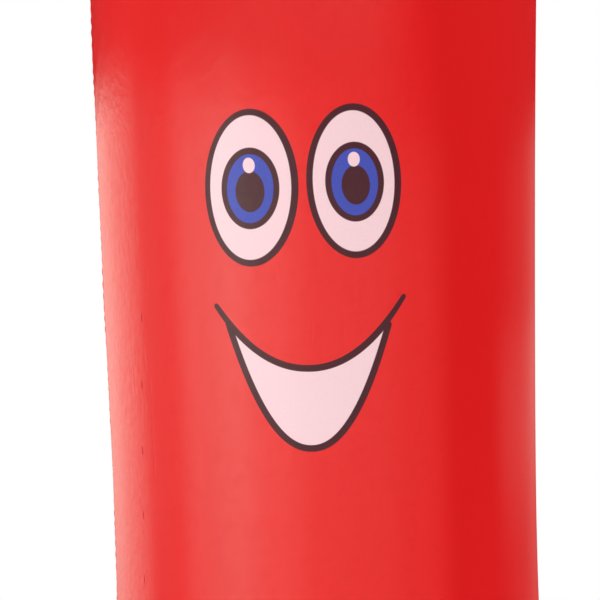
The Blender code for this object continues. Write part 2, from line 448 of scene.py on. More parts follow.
@dataclass(frozen=True)
class CoatedNylon(Finish):
    """Thin woven nylon with a glossy coat, dyed one colour.

    Lengths are in metres on the flat cloth. A crinkle is the soft unevenness of
    cloth held by air, and ticks are the short upright marks of a cloth that was
    folded and packed. A pair named seen has the values of a noise between which
    a pattern comes up.
    """

    colour: Colour = (0.760, 0.0095, 0.0122, 1.0)
    worn_colour: Colour = (0.740, 0.0085, 0.0112, 1.0)
    worn_scale: float = 16.0
    worn_seen: Pair = (0.30, 0.75)
    worn_share: float = 0.55
    thread_share: float = 0.04
    roughness: float = 0.55
    roughness_spread: float = 0.07
    roughness_scale: float = 40.0
    gloss: float = 0.08
    coat: float = 1.0
    coat_roughness: float = 0.10
    sheen: float = 0.70
    sheen_roughness: float = 0.30
    sheen_tint: Colour = (1.0, 0.03, 0.04, 1.0)
    thread_pitch: float = 0.00055
    thread_height: float = 0.0000022
    crinkle_length: float = 0.022
    crinkle_height: float = 0.00005
    fine_length: float = 0.0045
    fine_height: float = 0.0000085
    tick_height: float = 0.00003
    tick_size: Pair = (0.0022, 0.024)
    tick_seen: Pair = (0.60, 0.74)
    tick_patch_scale: float = 26.0
    tick_patch_seen: Pair = (0.50, 0.62)
    mark_colour: Colour = (0.660, 0.0079, 0.0103, 1.0)
    mark_share: float = 0.20
    mark_coat: float = 0.15
    mark_seen: Pair = (0.44, 0.78)
    mark_sizes: tuple[Pair, ...] = ((0.0075, 0.0048), (0.0042, 0.0080))
    mark_tilts: Pair = (0.5, -0.35)

    def weave(self, cloth: Value) -> Value:
        """Return the woven threads' relief, from -1 to 1."""
        across, along = (part * (tau / self.thread_pitch) for part in cloth.parts()[:2])
        return across.math("SINE") * along.math("SINE")

    def relief(self, cloth: Value) -> Value:
        """Add up the cloth's fine height.

        Args:
            cloth: The flat cloth's coordinates in metres.

        Returns:
            The height in metres.
        """
        crinkle = cloth.noise(1.0 / self.crinkle_length, 3.0, 0.45) * (2.0 * self.crinkle_height)
        fine = cloth.noise(1.0 / self.fine_length) * (2.0 * self.fine_height)
        threads = self.weave(cloth) * self.thread_height
        ticks = cloth.placed(size=self.tick_size).noise(1.0, 1.0, 0.4).smooth(*self.tick_seen)
        patches = cloth.noise(self.tick_patch_scale, 1.0).smooth(*self.tick_patch_seen)
        return crinkle + fine + threads - ticks * patches * self.tick_height

    def marks(self, cloth: Value) -> Value:
        """Return the cover of the small faint marks of handling.

        Args:
            cloth: The flat cloth's coordinates in metres.

        Returns:
            The cover, from 0 to 1.
        """
        places = [cloth.placed(tilt=tilt, size=size) for tilt, size in zip(self.mark_tilts, self.mark_sizes)]
        return largest([place.noise(1.0).smooth(*self.mark_seen) for place in places])

    def marked(self, cloth: Value, ground: object) -> Value:
        """Lay the marks of handling over a dyed ground."""
        return (self.marks(cloth) * self.mark_share).blend(ground, self.mark_colour)

    def dye(self, cloth: Value) -> Value:
        """Dye the cloth, a little uneven in patches and in its threads.

        Args:
            cloth: The flat cloth's coordinates in metres.

        Returns:
            The colour.
        """
        patches = cloth.noise(self.worn_scale, 4.0, 0.6).smooth(*self.worn_seen)
        threads = self.weave(cloth) * (2.0 * self.thread_share) - self.thread_share
        share = (patches * self.worn_share).math("ADD", threads, clamp=True)
        return self.marked(cloth, share.blend(self.colour, self.worn_colour))

    def coat_weight(self, cloth: Value) -> object:
        """Return how much of the coat shows."""
        return self.coat

    def inputs(self, tree: bpy.types.NodeTree) -> dict[str, object]:
        """List what the coated cloth's shader gets.

        Args:
            tree: The material's tree.

        Returns:
            A value for each input that isn't left as it is.
        """
        cloth = Value.read(tree, "ShaderNodeUVMap", "UV", uv_map=CLOTH_MAP)
        normal = self.relief(cloth).normal()
        uneven = cloth.noise(self.roughness_scale, 3.0, 0.55) * (2.0 * self.roughness_spread)
        return {
            "Base Color": self.dye(cloth),
            "Metallic": 0.0,
            "Roughness": uneven + (self.roughness - self.roughness_spread),
            "IOR": 1.5,
            "Specular IOR Level": self.gloss,
            "Coat Weight": self.coat_weight(cloth),
            "Coat Roughness": self.coat_roughness,
            "Sheen Weight": self.sheen,
            "Sheen Roughness": self.sheen_roughness,
            "Sheen Tint": self.sheen_tint,
            "Normal": normal,
            "Coat Normal": normal,
        }


@dataclass(frozen=True)
class Oval:
    """A printed oval: its centre on the flat cloth, half sizes and tilt, in mm and degrees."""

    centre: Pair
    half_size: Pair
    tilt: float = 0.0

    def cover(self, sheet: Value, edge: float) -> Value:
        """Return 1 inside the oval and 0 outside, over a soft edge.

        Args:
            sheet: The flat cloth's coordinates in millimetres.
            edge: The soft edge's width in millimetres.

        Returns:
            The oval's cover.
        """
        own = sheet.placed(self.centre, -radians(self.tilt), self.half_size)
        share = 0.5 * edge / min(self.half_size)
        return own.length().smooth(1.0 + share, 1.0 - share)


@dataclass(frozen=True)
class LipCurve:
    """A printed lip: height = low + steepness * |across - middle| ** power, in mm.

    Its line has a round end at a tip on either side.
    """

    middle: float
    low: float
    steepness: float
    power: float
    tips: Pair

    def height(self, across: float) -> float:
        """Return the lip's height at a place across the face."""
        return self.low + self.steepness * abs(across - self.middle) ** self.power

    def past_tips(self, sheet: Value) -> Value:
        """Measure how far a place on the cloth lies beyond a tip, along the lip.

        Args:
            sheet: The flat cloth's coordinates in millimetres.

        Returns:
            The distance in millimetres, or 0 between the tips.
        """
        beyond = []
        for tip, side in zip(self.tips, (-1.0, 1.0)):
            slope = self.steepness * self.power * abs(tip - self.middle) ** (self.power - 1.0)
            beyond.append(sheet.placed((tip, self.height(tip)), atan2(slope, side)).parts()[0])
        return largest([*beyond, 0.0])

    def line(self, sheet: Value, over: Value, ends: Pair, thinner: object = 0.0) -> Value:
        """Return the cover of the lip's line.

        Args:
            sheet: The flat cloth's coordinates in millimetres.
            over: How far each place is above the lip, in millimetres.
            ends: The distances from the lip at which the cover is 0 and 1.
            thinner: What the line's half width loses, in millimetres.

        Returns:
            The line's cover.
        """
        off = abs(over) + thinner
        past = self.past_tips(sheet)
        return (past * past + off * off).math("SQRT").smooth(*ends)

    def above(self, sheet: Value) -> Value:
        """Measure how far a place on the cloth is above the lip, square to it.

        Args:
            sheet: The flat cloth's coordinates in millimetres.

        Returns:
            The distance in millimetres, less than 0 below the lip.
        """
        across, up, _ = sheet.parts()
        away = abs(across - self.middle)
        slope = away ** (self.power - 1.0) * (self.steepness * self.power)
        straight = up - (away**self.power * self.steepness + self.low)
        return straight / (slope * slope + 1.0).math("SQRT")


@dataclass(frozen=True)
class PrintedEye:
    """An eye of five ovals: outline, white, iris ring, iris and pupil, with a highlight."""

    outline: Oval
    white: Oval
    ring: Oval
    iris: Oval
    pupil: Oval
    highlight: Oval


@dataclass(frozen=True)
class PrintedMouth:
    """An open smile between two lips, the upper one running thinner past the corners."""

    upper: LipCurve
    lower: LipCurve
    line_width: float
    thin_from: Pair
    thin_by: float

    def covers(self, sheet: Value, edge: float) -> tuple[Value, Value]:
        """Return the cover of the mouth's white and of its two black lines.

        Args:
            sheet: The flat cloth's coordinates in millimetres.
            edge: The soft edge's width in millimetres.

        Returns:
            The two covers.
        """
        over_upper, over_lower = self.upper.above(sheet), self.lower.above(sheet)
        ends = 0.5 * (self.line_width + edge), 0.5 * (self.line_width - edge)
        away = abs(sheet.parts()[0] - self.upper.middle)
        upper_line = self.upper.line(
            sheet, over_upper, ends, away.smooth(*self.thin_from) * self.thin_by
        )
        under_upper = over_upper.smooth(0.5 * edge, -0.5 * edge)
        lower_line = self.lower.line(sheet, over_lower, ends) * under_upper
        opening = under_upper * over_lower.smooth(-0.5 * edge, 0.5 * edge)
        return opening, largest([upper_line, lower_line])


@dataclass(frozen=True)
class Ink:
    """A printing ink, which turns to its colour times uneven where it lies thin."""

    colour: Colour
    uneven: float

    def over(self, thin: Value) -> Value:
        """Return the ink's colour for a cover of its thin places."""
        return thin.blend(self.colour, tuple(self.uneven * part for part in self.colour))


@dataclass(frozen=True)
class PrintedNylon(CoatedNylon):
    """The coated nylon with the smiling face printed on its front, in mm on the flat cloth.

    Painted light makes the cloth paler in front, and painted shade makes it darker at
    the top and by the seam. The zones' pairs are in metres, from where a zone begins to where it is full.
    """

    black: Ink = Ink((0.062, 0.010, 0.020, 1.0), 1.25)
    white: Ink = Ink((0.970, 0.665, 0.780, 1.0), 0.97)
    blue: Ink = Ink((0.054, 0.076, 0.480, 1.0), 1.12)
    edge: float = 0.35
    thin_scale: float = 900.0
    thin_seen: Pair = (0.35, 0.75)
    ink_coat: float = 0.60
    # painted light: the paler colour laid across the front
    pale: Colour = (0.835, 0.0100, 0.0128, 1.0)
    # painted shade: the darker colour at the top and by the seam
    painted_shade_colour: Colour = (0.720, 0.0085, 0.0112, 1.0)
    # painted light: where the paler front zone begins and ends
    painted_light_left: Pair = (-0.056, -0.018)
    painted_light_right: Pair = (0.067, 0.046)
    painted_light_slant: float = 0.030
    painted_light_upright: float = 1.64
    # painted shade: where the darker zones at the top and by the seam begin and end
    painted_shade_side: Pair = (-0.080, -0.098)
    painted_shade_side_heights: Pair = (1.612, 1.590)
    painted_shade_top_heights: Pair = (1.585, 1.620)
    painted_shade_top_widths: Pair = (0.075, -0.070)
    painted_shade_top_share: float = 0.80
    crumpled: tuple[Pair, ...] = ((-0.096, -0.118), (0.505, 0.530))
    crumple_size: Pair = (0.0042, 0.0058)
    crumple_height: float = 0.00021
    crumple_from: Pair = (1.620, 1.545)
    eyes: tuple[PrintedEye, ...] = (
        PrintedEye(
            outline=Oval((-32.3, 1546.3), (23.7, 38.0), 3.0),
            white=Oval((-32.6, 1546.4), (20.5, 34.8), 2.6),
            ring=Oval((-32.4, 1546.2), (14.6, 19.7), 5.0),
            iris=Oval((-32.4, 1546.1), (11.7, 16.6), 5.0),
            pupil=Oval((-32.4, 1544.7), (7.3, 9.9), 3.0),
            highlight=Oval((-32.6, 1557.3), (3.0, 3.7), 0.0),
        ),
        PrintedEye(
            outline=Oval((18.4, 1550.1), (23.2, 37.0), -1.0),
            white=Oval((18.2, 1550.1), (19.9, 33.7), -1.0),
            ring=Oval((18.5, 1549.9), (14.3, 19.1), -1.0),
            iris=Oval((18.5, 1549.8), (11.3, 16.0), -1.0),
            pupil=Oval((18.9, 1548.4), (6.9, 9.4), -1.0),
            highlight=Oval((18.1, 1560.7), (2.9, 3.5), 0.0),
        ),
    )
    mouth: PrintedMouth = PrintedMouth(
        upper=LipCurve(-7.05, 1459.0, 0.0099, 2.095, (-51.8, 41.9)),
        lower=LipCurve(-6.0, 1418.8, 0.0250, 2.117, (-45.6, 33.9)),
        line_width=3.4,
        thin_from=(36.0, 50.0),
        thin_by=0.45,
    )

    def face(self, cloth: Value, ground: object) -> Value:
        """Lay the face's inks over the dyed cloth, from the widest shape to the smallest.

        Args:
            cloth: The flat cloth's coordinates in metres.
            ground: The dyed cloth's colour.

        Returns:
            The colour with the face.
        """
        sheet = cloth.scaled(1.0 / MM)
        thin = cloth.noise(self.thin_scale, 2.0, 0.6).smooth(*self.thin_seen)
        black, white, blue = (ink.over(thin) for ink in (self.black, self.white, self.blue))
        layers = list(zip(self.mouth.covers(sheet, self.edge), (white, black)))
        for eye in self.eyes:
            ovals = (eye.outline, eye.white, eye.ring, eye.iris, eye.pupil, eye.highlight)
            inks = (black, white, black, blue, black, white)
            layers += [(oval.cover(sheet, self.edge), ink) for oval, ink in zip(ovals, inks)]
        for cover, ink in layers:
            ground = cover.blend(ground, ink)
        return ground

    def dye(self, cloth: Value) -> Value:
        """Paint light on the cloth's front and shade at its top and by the seam, and print the face on it.

        Args:
            cloth: The flat cloth's coordinates in metres.

        Returns:
            The colour.
        """
        across, up, _ = cloth.parts()
        # painted light: a paler slanted zone across the front
        slanted = (up - self.painted_light_upright) * self.painted_light_slant + across
        front = across.smooth(*self.painted_light_left) * slanted.smooth(*self.painted_light_right)
        # painted shade: darker at the top towards the left, and by the seam below it
        top = up.smooth(*self.painted_shade_top_heights) * across.smooth(*self.painted_shade_top_widths)
        side = across.smooth(*self.painted_shade_side) * up.smooth(*self.painted_shade_side_heights)
        ground = front.blend(super().dye(cloth), self.marked(cloth, self.pale))
        painted_shade = largest([top * self.painted_shade_top_share, side])
        return self.face(cloth, painted_shade.blend(ground, self.painted_shade_colour))

    def relief(self, cloth: Value) -> Value:
        """Add the crumpled strip on both sides of the seam to the cloth's fine height.

        Args:
            cloth: The flat cloth's coordinates in metres.

        Returns:
            The height in metres.
        """
        across, up, _ = cloth.parts()
        left, right = (across.smooth(*ends) for ends in self.crumpled)
        crumple = cloth.placed(size=self.crumple_size).noise(1.0, 2.0, 0.55)
        strip = (left + right) * up.smooth(*self.crumple_from) * self.crumple_height
        return super().relief(cloth) + crumple * strip

    def coat_weight(self, cloth: Value) -> Value:
        """Return how much of the coat shows, which is less under marks and ink.

        Args:
            cloth: The flat cloth's coordinates in metres.

        Returns:
            The coat's weight.
        """
        sheet = cloth.scaled(1.0 / MM)
        covers = list(self.mouth.covers(sheet, self.edge))
        covers += [eye.outline.cover(sheet, self.edge) for eye in self.eyes]
        coat = self.marks(cloth) * -self.mark_coat + self.coat
        return largest(covers) * (self.ink_coat - self.coat) + coat


@dataclass(frozen=True)
class SewingThread(Finish):
    """Spun thread of the seams, a darker red than the cloth."""

    name: str = "sewing_thread"
    colour: Colour = (0.46, 0.016, 0.020, 1.0)
    pale: Colour = (0.60, 0.030, 0.034, 1.0)
    pale_seen: Pair = (0.35, 0.7)
    roughness: float = 0.62
    roughness_spread: float = 0.1
    ply_length: float = 0.0009
    ply_height: float = 0.00004

    def inputs(self, tree: bpy.types.NodeTree) -> dict[str, object]:
        """List what the thread's shader gets.

        Args:
            tree: The material's tree.

        Returns:
            A value for each input that isn't left as it is.
        """
        place = Value.read(tree, "ShaderNodeTexCoord", "Object")
        plies = place.noise(1.0 / self.ply_length, 2.0, 0.6)
        spread = self.roughness_spread
        return {
            "IOR": 1.45,
            "Base Color": plies.smooth(*self.pale_seen).blend(self.colour, self.pale),
            "Roughness": plies * (2.0 * spread) + (self.roughness - spread),
            "Normal": (plies * self.ply_height).normal(),
        }


@dataclass(frozen=True)
class PaleFloor(Finish):
    """The studio's plain pale floor, a little rough."""

    name: str = "studio_floor"
    colour: Colour = (0.47, 0.47, 0.52, 1.0)
    shade: Colour = (0.445, 0.445, 0.49, 1.0)
    roughness: float = 0.85

    def inputs(self, tree: bpy.types.NodeTree) -> dict[str, object]:
        """List what the floor's shader gets.

        Args:
            tree: The material's tree.

        Returns:
            A value for each input that isn't left as it is.
        """
        cloud = Value.read(tree, "ShaderNodeTexCoord", "Object").noise(3.0, 4.0, 0.6)
        colour = cloud.blend(self.colour, self.shade)
        return {"Specular IOR Level": 0.1, "Roughness": self.roughness, "Base Color": colour}


# --- the sewing
@dataclass
class StitchRow:
    """Rows of short raised stitches, all in one piece."""

    name: str
    slot: str
    pitch: float = 0.0042
    share: float = 0.62
    width: float = 0.00055
    height: float = 0.00042
    shape: Shape = field(default_factory=bmesh.new)

    def add(self, spot: Vector, along: Vector, outward: Vector) -> None:
        """Add one stitch at a spot, lying along a direction on a surface.

        Args:
            spot: Its middle, on the cloth's surface.
            along: The way the row runs.
            outward: The surface's normal.
        """
        along = (along - along.dot(outward) * outward).normalized()
        lie = set_up(spot, along, outward.cross(along), outward)
        half_sizes = (0.5 * self.pitch * self.share, 0.5 * self.width, 0.5 * self.height, 1.0)
        bmesh.ops.create_uvsphere(
            self.shape,
            u_segments=6,
            v_segments=4,
            radius=1.0,
            matrix=lie @ Matrix.Diagonal(half_sizes) @ Matrix.Rotation(0.5 * pi, 4, "Y"),
        )

    def run(self, path: Path, length: float, closed: bool = True) -> "StitchRow":
        """Sew along a path.

        Args:
            path: Gives a spot and its outward normal for a share from 0 to 1.
            length: The path's length in metres.
            closed: Whether the path comes back to its start.

        Returns:
            The row itself, for the next run.
        """
        count = max(3, round(length / self.pitch))
        step = 1.0 / count
        for number in range(count if closed else count + 1):
            spot, outward = path(number * step)
            ahead, _ = path(number * step + 0.25 * step)
            self.add(spot, ahead - spot, outward)
        return self

    def piece(self, thread: Material) -> Piece:
        """Finish the stitches as one piece."""
        return finished_piece(self.name, self.shape, thread, self.slot)


@dataclass(frozen=True)
class Welt:
    """A sewn edge's low roll, which swells between its stitches."""

    name: str
    slot: str
    radius: float
    swell: float
    pitch: float = 0.0065
    sides: int = 2
    swell_waves: tuple[Wave, ...] = ((0.35, 0.83, 1.0), (0.25, 0.31, 0.0))

    def piece(self, spots: Sequence[Vector], closed: bool, finish: Material, step: float) -> Piece:
        """Run a round roll through spots and make it a piece.

        Args:
            spots: Its middle line.
            closed: Whether the line is a ring.
            finish: Its material.
            step: The distance between two spots.

        Returns:
            The finished piece.
        """
        line = bpy.data.curves.new(self.name, "CURVE")
        line.dimensions = "3D"
        line.bevel_depth = self.radius
        line.bevel_resolution = self.sides
        line.use_fill_caps = not closed
        spline = line.splines.new("POLY")
        spline.points.add(len(spots) - 1)
        spline.use_cyclic_u = closed
        for number, (point, spot) in enumerate(zip(spline.points, spots)):
            point.co = (*spot, 1.0)
            run = number * step / self.pitch
            share = 0.5 + 0.5 * waves(run, self.swell_waves)
            point.radius = 1.0 + self.swell * share * cos(tau * run)
        draft = bpy.data.objects.new(self.name + "_draft", line)
        shape = bmesh.new()
        made = bpy.data.meshes.new_from_object(draft)
        shape.from_mesh(made)
        bpy.data.objects.remove(draft, do_unlink=True)
        bpy.data.curves.remove(line)
        bpy.data.meshes.remove(made)
        bmesh.ops.remove_doubles(shape, verts=shape.verts[:], dist=1e-6)
        bmesh.ops.recalc_face_normals(shape, faces=shape.faces[:])
        layer = shape.loops.layers.uv.new(CLOTH_MAP)
        for face in shape.faces:
            for loop in face.loops:
                loop[layer].uv = (loop.vert.co.x + loop.vert.co.y, loop.vert.co.z)
        return finished_piece(self.name, shape, finish, self.slot)


# --- the tube's form
@dataclass(frozen=True)
class Crease:
    """One soft ridge in a flat cloth, or a trough where its height is negative.

    Places and sizes are in metres on the flat cloth; tilt is in degrees from
    upright, and bow is how far the middle of the crease is bent sideways.
    """

    across: float
    up: float
    tilt: float
    half_length: float
    half_width: float
    height: float
    bow: float = 0.0

    def at(self, across: float, up: float) -> float:
        """Return the height that the crease adds at a place on the cloth.

        Args:
            across: The place's coordinate around the tube.
            up: Its height.

        Returns:
            The height of the relief there.
        """
        turn = radians(self.tilt)
        right, rise = across - self.across, up - self.up
        share = (rise * cos(turn) + right * sin(turn)) / self.half_length
        if abs(share) >= 1.0:
            return 0.0
        off = right * cos(turn) - rise * sin(turn) - self.bow * (1.0 - share * share)
        away = off / self.half_width
        if abs(away) > 3.0:
            return 0.0
        uneven = 1.0 + 0.25 * sin(9.0 * share + 200.0 * self.across)
        return self.height * uneven * (1.0 - share * share) ** 2 * bell(away)


class Side(Enum):
    """The side that a sleeve is on, as the viewer sees the face."""

    LEFT = -1.0
    RIGHT = 1.0


@dataclass(frozen=True)
class TubeForm:
    """The tube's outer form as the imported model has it, with the cloth's own relief.

    The gathers are the fine puckers by the crown's seam and the hem, each given
    by its height on the tube, its reach and its depth.
    """

    radius: float = 0.120
    height: float = 1.740
    lean: float = 0.019
    lean_length: float = 1.800
    shoulder_swell: float = 0.004
    shoulder_spread: float = 0.100
    shoulder_height: float = 1.200
    base_waves: int = 5
    base_wave: float = 0.0015
    base_wave_height: float = 0.120
    puckers: int = 16
    pucker_depth: float = 0.0011
    pucker_height: float = 0.028
    pucker_uneven: Wave = (0.35, 3.0, 1.0)
    gathers: tuple[tuple[float, float, float], ...] = (
        (1.740, 0.011, 0.00042),
        (0.028, 0.010, 0.00045),
    )
    sleeve_height: float = 1.170
    seam_turn: float = radians(-172.6)
    seam_twist: float = radians(1.6)
    seam_valley: float = 0.0006
    seam_valley_width: float = 0.007
    seam_valley_waves: tuple[Wave, ...] = ((0.25, 41.0, 1.0), (0.15, 97.0, 0.0))
    seam_pucker: float = 0.00020
    seam_pucker_pitch: float = 0.0065
    seam_pucker_width: float = 0.006
    seam_pucker_waves: tuple[Wave, ...] = ((0.35, 233.0, 1.0),)
    seam_pucker_drift: tuple[Wave, ...] = ((1.1, 150.0, 0.0), (0.7, 61.0, 2.0))
    drag_height: float = 0.00012
    drag_pitch: float = 0.0125
    drag_slant: float = radians(35.0)
    drag_reach: float = 0.020
    creases: tuple[Crease, ...] = (
        # long upright folds to the right of the face
        Crease(0.087, 1.470, 1.0, 0.230, 0.0095, -0.00006, 0.004),
        Crease(0.116, 1.400, 0.5, 0.190, 0.0100, 0.00006, -0.004),
        Crease(0.070, 1.350, 2.0, 0.120, 0.0090, 0.00004, 0.002),
        # faint level wrinkles between the eyes and the mouth
        Crease(-0.008, 1.507, 86.0, 0.060, 0.0030, -0.00005, 0.001),
        Crease(0.014, 1.495, 88.0, 0.050, 0.0028, 0.00004, -0.001),
        Crease(-0.020, 1.484, 84.0, 0.055, 0.0030, -0.00005, 0.001),
        Crease(0.052, 1.476, 85.0, 0.045, 0.0028, 0.00004, 0.001),
        # wrinkles below and to the left of the mouth, rising a little
        Crease(-0.070, 1.432, 84.0, 0.040, 0.0030, -0.00006, 0.001),
        Crease(-0.062, 1.408, 82.0, 0.050, 0.0034, -0.00006, 0.002),
        Crease(-0.030, 1.384, 80.0, 0.060, 0.0040, 0.00006, 0.002),
        Crease(-0.085, 1.372, 83.0, 0.040, 0.0034, -0.00005, 0.001),
        # soft folds that run up from the base
        Crease(-0.062, 0.300, 3.0, 0.280, 0.0230, -0.0024, 0.012),
        Crease(0.048, 0.230, -4.0, 0.230, 0.0200, 0.0019, -0.009),
        Crease(0.135, 0.340, 2.0, 0.320, 0.0240, -0.0026, 0.010),
        Crease(0.245, 0.270, -3.0, 0.260, 0.0220, 0.0020, 0.011),
        Crease(0.342, 0.360, 4.0, 0.340, 0.0250, -0.0026, -0.012),
        Crease(0.455, 0.250, -2.0, 0.250, 0.0210, 0.0019, 0.009),
        # slanting folds half way up
        Crease(-0.115, 0.560, 22.0, 0.190, 0.0170, -0.0018, 0.012),
        Crease(0.058, 0.690, -27.0, 0.200, 0.0165, -0.0019, -0.014),
        Crease(0.110, 0.800, 34.0, 0.150, 0.0130, 0.0011, 0.010),
        Crease(0.300, 0.720, 29.0, 0.200, 0.0175, -0.0020, 0.016),
        Crease(0.445, 0.640, -25.0, 0.180, 0.0165, -0.0017, 0.011),
        Crease(-0.020, 0.470, -31.0, 0.120, 0.0120, 0.0010, -0.008),
        Crease(0.215, 0.500, -24.0, 0.150, 0.0140, 0.0012, 0.010),
        Crease(0.385, 0.500, 33.0, 0.130, 0.0130, 0.0011, -0.008),
        # folds across the tube under the sleeves and on the back, where it leans over
        Crease(0.330, 1.430, 78.0, 0.120, 0.0130, -0.0013, 0.011),
        Crease(0.400, 1.300, 71.0, 0.130, 0.0130, -0.0013, -0.011),
        Crease(0.250, 1.560, 82.0, 0.090, 0.0110, -0.0009, 0.008),
        Crease(0.290, 1.050, 65.0, 0.130, 0.0145, -0.0016, 0.013),
        Crease(0.370, 0.910, -69.0, 0.140, 0.0150, -0.0018, 0.013),
        Crease(0.010, 0.940, 74.0, 0.120, 0.0140, -0.0016, -0.012),
        Crease(-0.060, 1.060, -66.0, 0.100, 0.0120, -0.0012, 0.010),
        Crease(0.085, 1.080, 62.0, 0.090, 0.0110, -0.0011, 0.009),
    )
    pull_rays: int = 11
    pull_height: float = 0.0011
    pull_reach: float = 0.040
    pull_height_limit: float = 0.20
    root_radius: float = 0.050

    def sway(self, height: float) -> float:
        """Return the sideways place of the tube's middle line."""
        return 0.5 * self.lean * (1.0 - cos(tau * height / self.lean_length))

    def polar(self, spot: Vector) -> Pair:
        """Return the turn and the distance of a place about the middle line."""
        right = spot.x - self.sway(spot.z)
        return atan2(spot.y, right), hypot(right, spot.y)

    def swell(self, height: float) -> float:
        """Return the extra radius around the sleeves."""
        return self.shoulder_swell * bell((height - self.shoulder_height) / self.shoulder_spread)

    def folds(self, height: float, turn: float) -> float:
        """Return the extra radius of the base's waves and of the crown seam's puckers.

        Args:
            height: The height on the tube.
            turn: The turn about its middle line.

        Returns:
            The extra radius.
        """
        base = self.base_wave * sin(self.base_waves * turn) * exp(-height / self.base_wave_height)
        uneven = 1.0 + waves(turn, (self.pucker_uneven,))
        fade = exp(-abs(height - self.height) / self.pucker_height)
        return base + self.pucker_depth * uneven * cos(self.puckers * turn) * fade

    def gathered(self, height: float, turn: float) -> float:
        """Return the fine puckers that the stitches of the hem and the crown seam make.

        Args:
            height: The height on the tube.
            turn: The turn about its middle line.

        Returns:
            What the puckers add to the radius.
        """
        fine = gather(turn)
        return sum(
            depth * exp(-abs(height - level) / reach) * fine for level, reach, depth in self.gathers
        )

    def seam_place(self, height: float) -> float:
        """Return the turn at which the side seam stands at a height."""
        return self.seam_turn + self.seam_twist * (cos(2.6 * height + 0.6) - 1.0) * 0.5

    def seam_drag(self, height: float, off: float) -> float:
        """Return the faint folds that rise slanting from the side seam, beside it.

        Args:
            height: The height on the tube.
            off: The distance from the seam.

        Returns:
            What the folds add to the radius.
        """
        away = abs(off) / self.drag_reach
        grip = away * away * exp(1.0 - away * away)
        place = abs(off) * cos(self.drag_slant) - height * sin(self.drag_slant)
        wave = cos(tau * place / self.drag_pitch + 1.3 * sin(19.0 * height))
        patchy = 0.6 + 0.4 * sin(37.0 * height + 0.7) * sin(11.0 * height)
        return self.drag_height * grip * patchy * wave

    def seam_pull(self, height: float, turn: float) -> float:
        """Return the shallow valley along the side seam, with its small puckers.

        Args:
            height: The height on the tube.
            turn: The turn about its middle line.

        Returns:
            What the valley and the folds beside it add to the radius.
        """
        off = self.radius * nearest(turn - self.seam_place(height))
        if abs(off) > 3.5 * self.drag_reach:
            return 0.0
        drag = self.seam_drag(height, off)
        if abs(off) > 4.0 * self.seam_valley_width:
            return drag
        long_wave = 0.6 + waves(height, self.seam_valley_waves)
        valley = -self.seam_valley * long_wave * bell(off / self.seam_valley_width)
        drift = waves(height, self.seam_pucker_drift)
        pucker = cos(tau * height / self.seam_pucker_pitch + drift)
        pucker *= 0.65 + waves(height, self.seam_pucker_waves)
        return drag + valley + self.seam_pucker * pucker * bell(off / self.seam_pucker_width)

    def sleeve_pull(self, height: float, across: float) -> float:
        """Return the short creases that fan out from each sleeve's root.

        Args:
            height: The height on the tube.
            across: The flat cloth's coordinate around the tube.

        Returns:
            What the creases add to the radius.
        """
        rise = height - self.sleeve_height
        if abs(rise) > self.pull_height_limit:
            return 0.0
        pulled = 0.0
        for middle in (-0.5 * pi * self.radius, 0.5 * pi * self.radius):
            off = across - middle
            if off > pi * self.radius:
                off -= tau * self.radius
            away = hypot(off, rise) - self.root_radius
            if away > 5.0 * self.pull_reach:
                continue
            ray = atan2(rise, off)
            fan = sin(self.pull_rays * ray + 1.5 * sin(2.0 * ray + middle * 20.0))
            pulled += self.pull_height * fan * exp(-max(away, 0.0) / self.pull_reach)
        return pulled

    def cloth_across(self, turn: float) -> float:
        """Return the flat cloth's coordinate around the tube, 0 at the front."""
        return self.radius * (turn + 0.5 * pi)

    def relief(self, height: float, turn: float) -> float:
        """Return all that the cloth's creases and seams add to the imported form.

        Args:
            height: The height on the tube.
            turn: The turn about its middle line.

        Returns:
            What they add to the radius.
        """
        across = self.cloth_across(turn)
        total = self.gathered(height, turn) + self.seam_pull(height, turn)
        total += self.sleeve_pull(height, across)
        for crease in self.creases:
            total += crease.at(across, height)
        return total

    def skin(self, height: float, turn: float) -> float:
        """Return the outer radius at a height and turn."""
        grown = self.swell(height) + self.folds(height, turn) + self.relief(height, turn)
        return self.radius + grown

    def spot(self, height: float, turn: float, proud: float = 0.0) -> Vector:
        """Return a place on the outer skin, or so much proud of it."""
        reach = self.skin(height, turn) + proud
        return Vector((self.sway(height) + reach * cos(turn), reach * sin(turn), height))


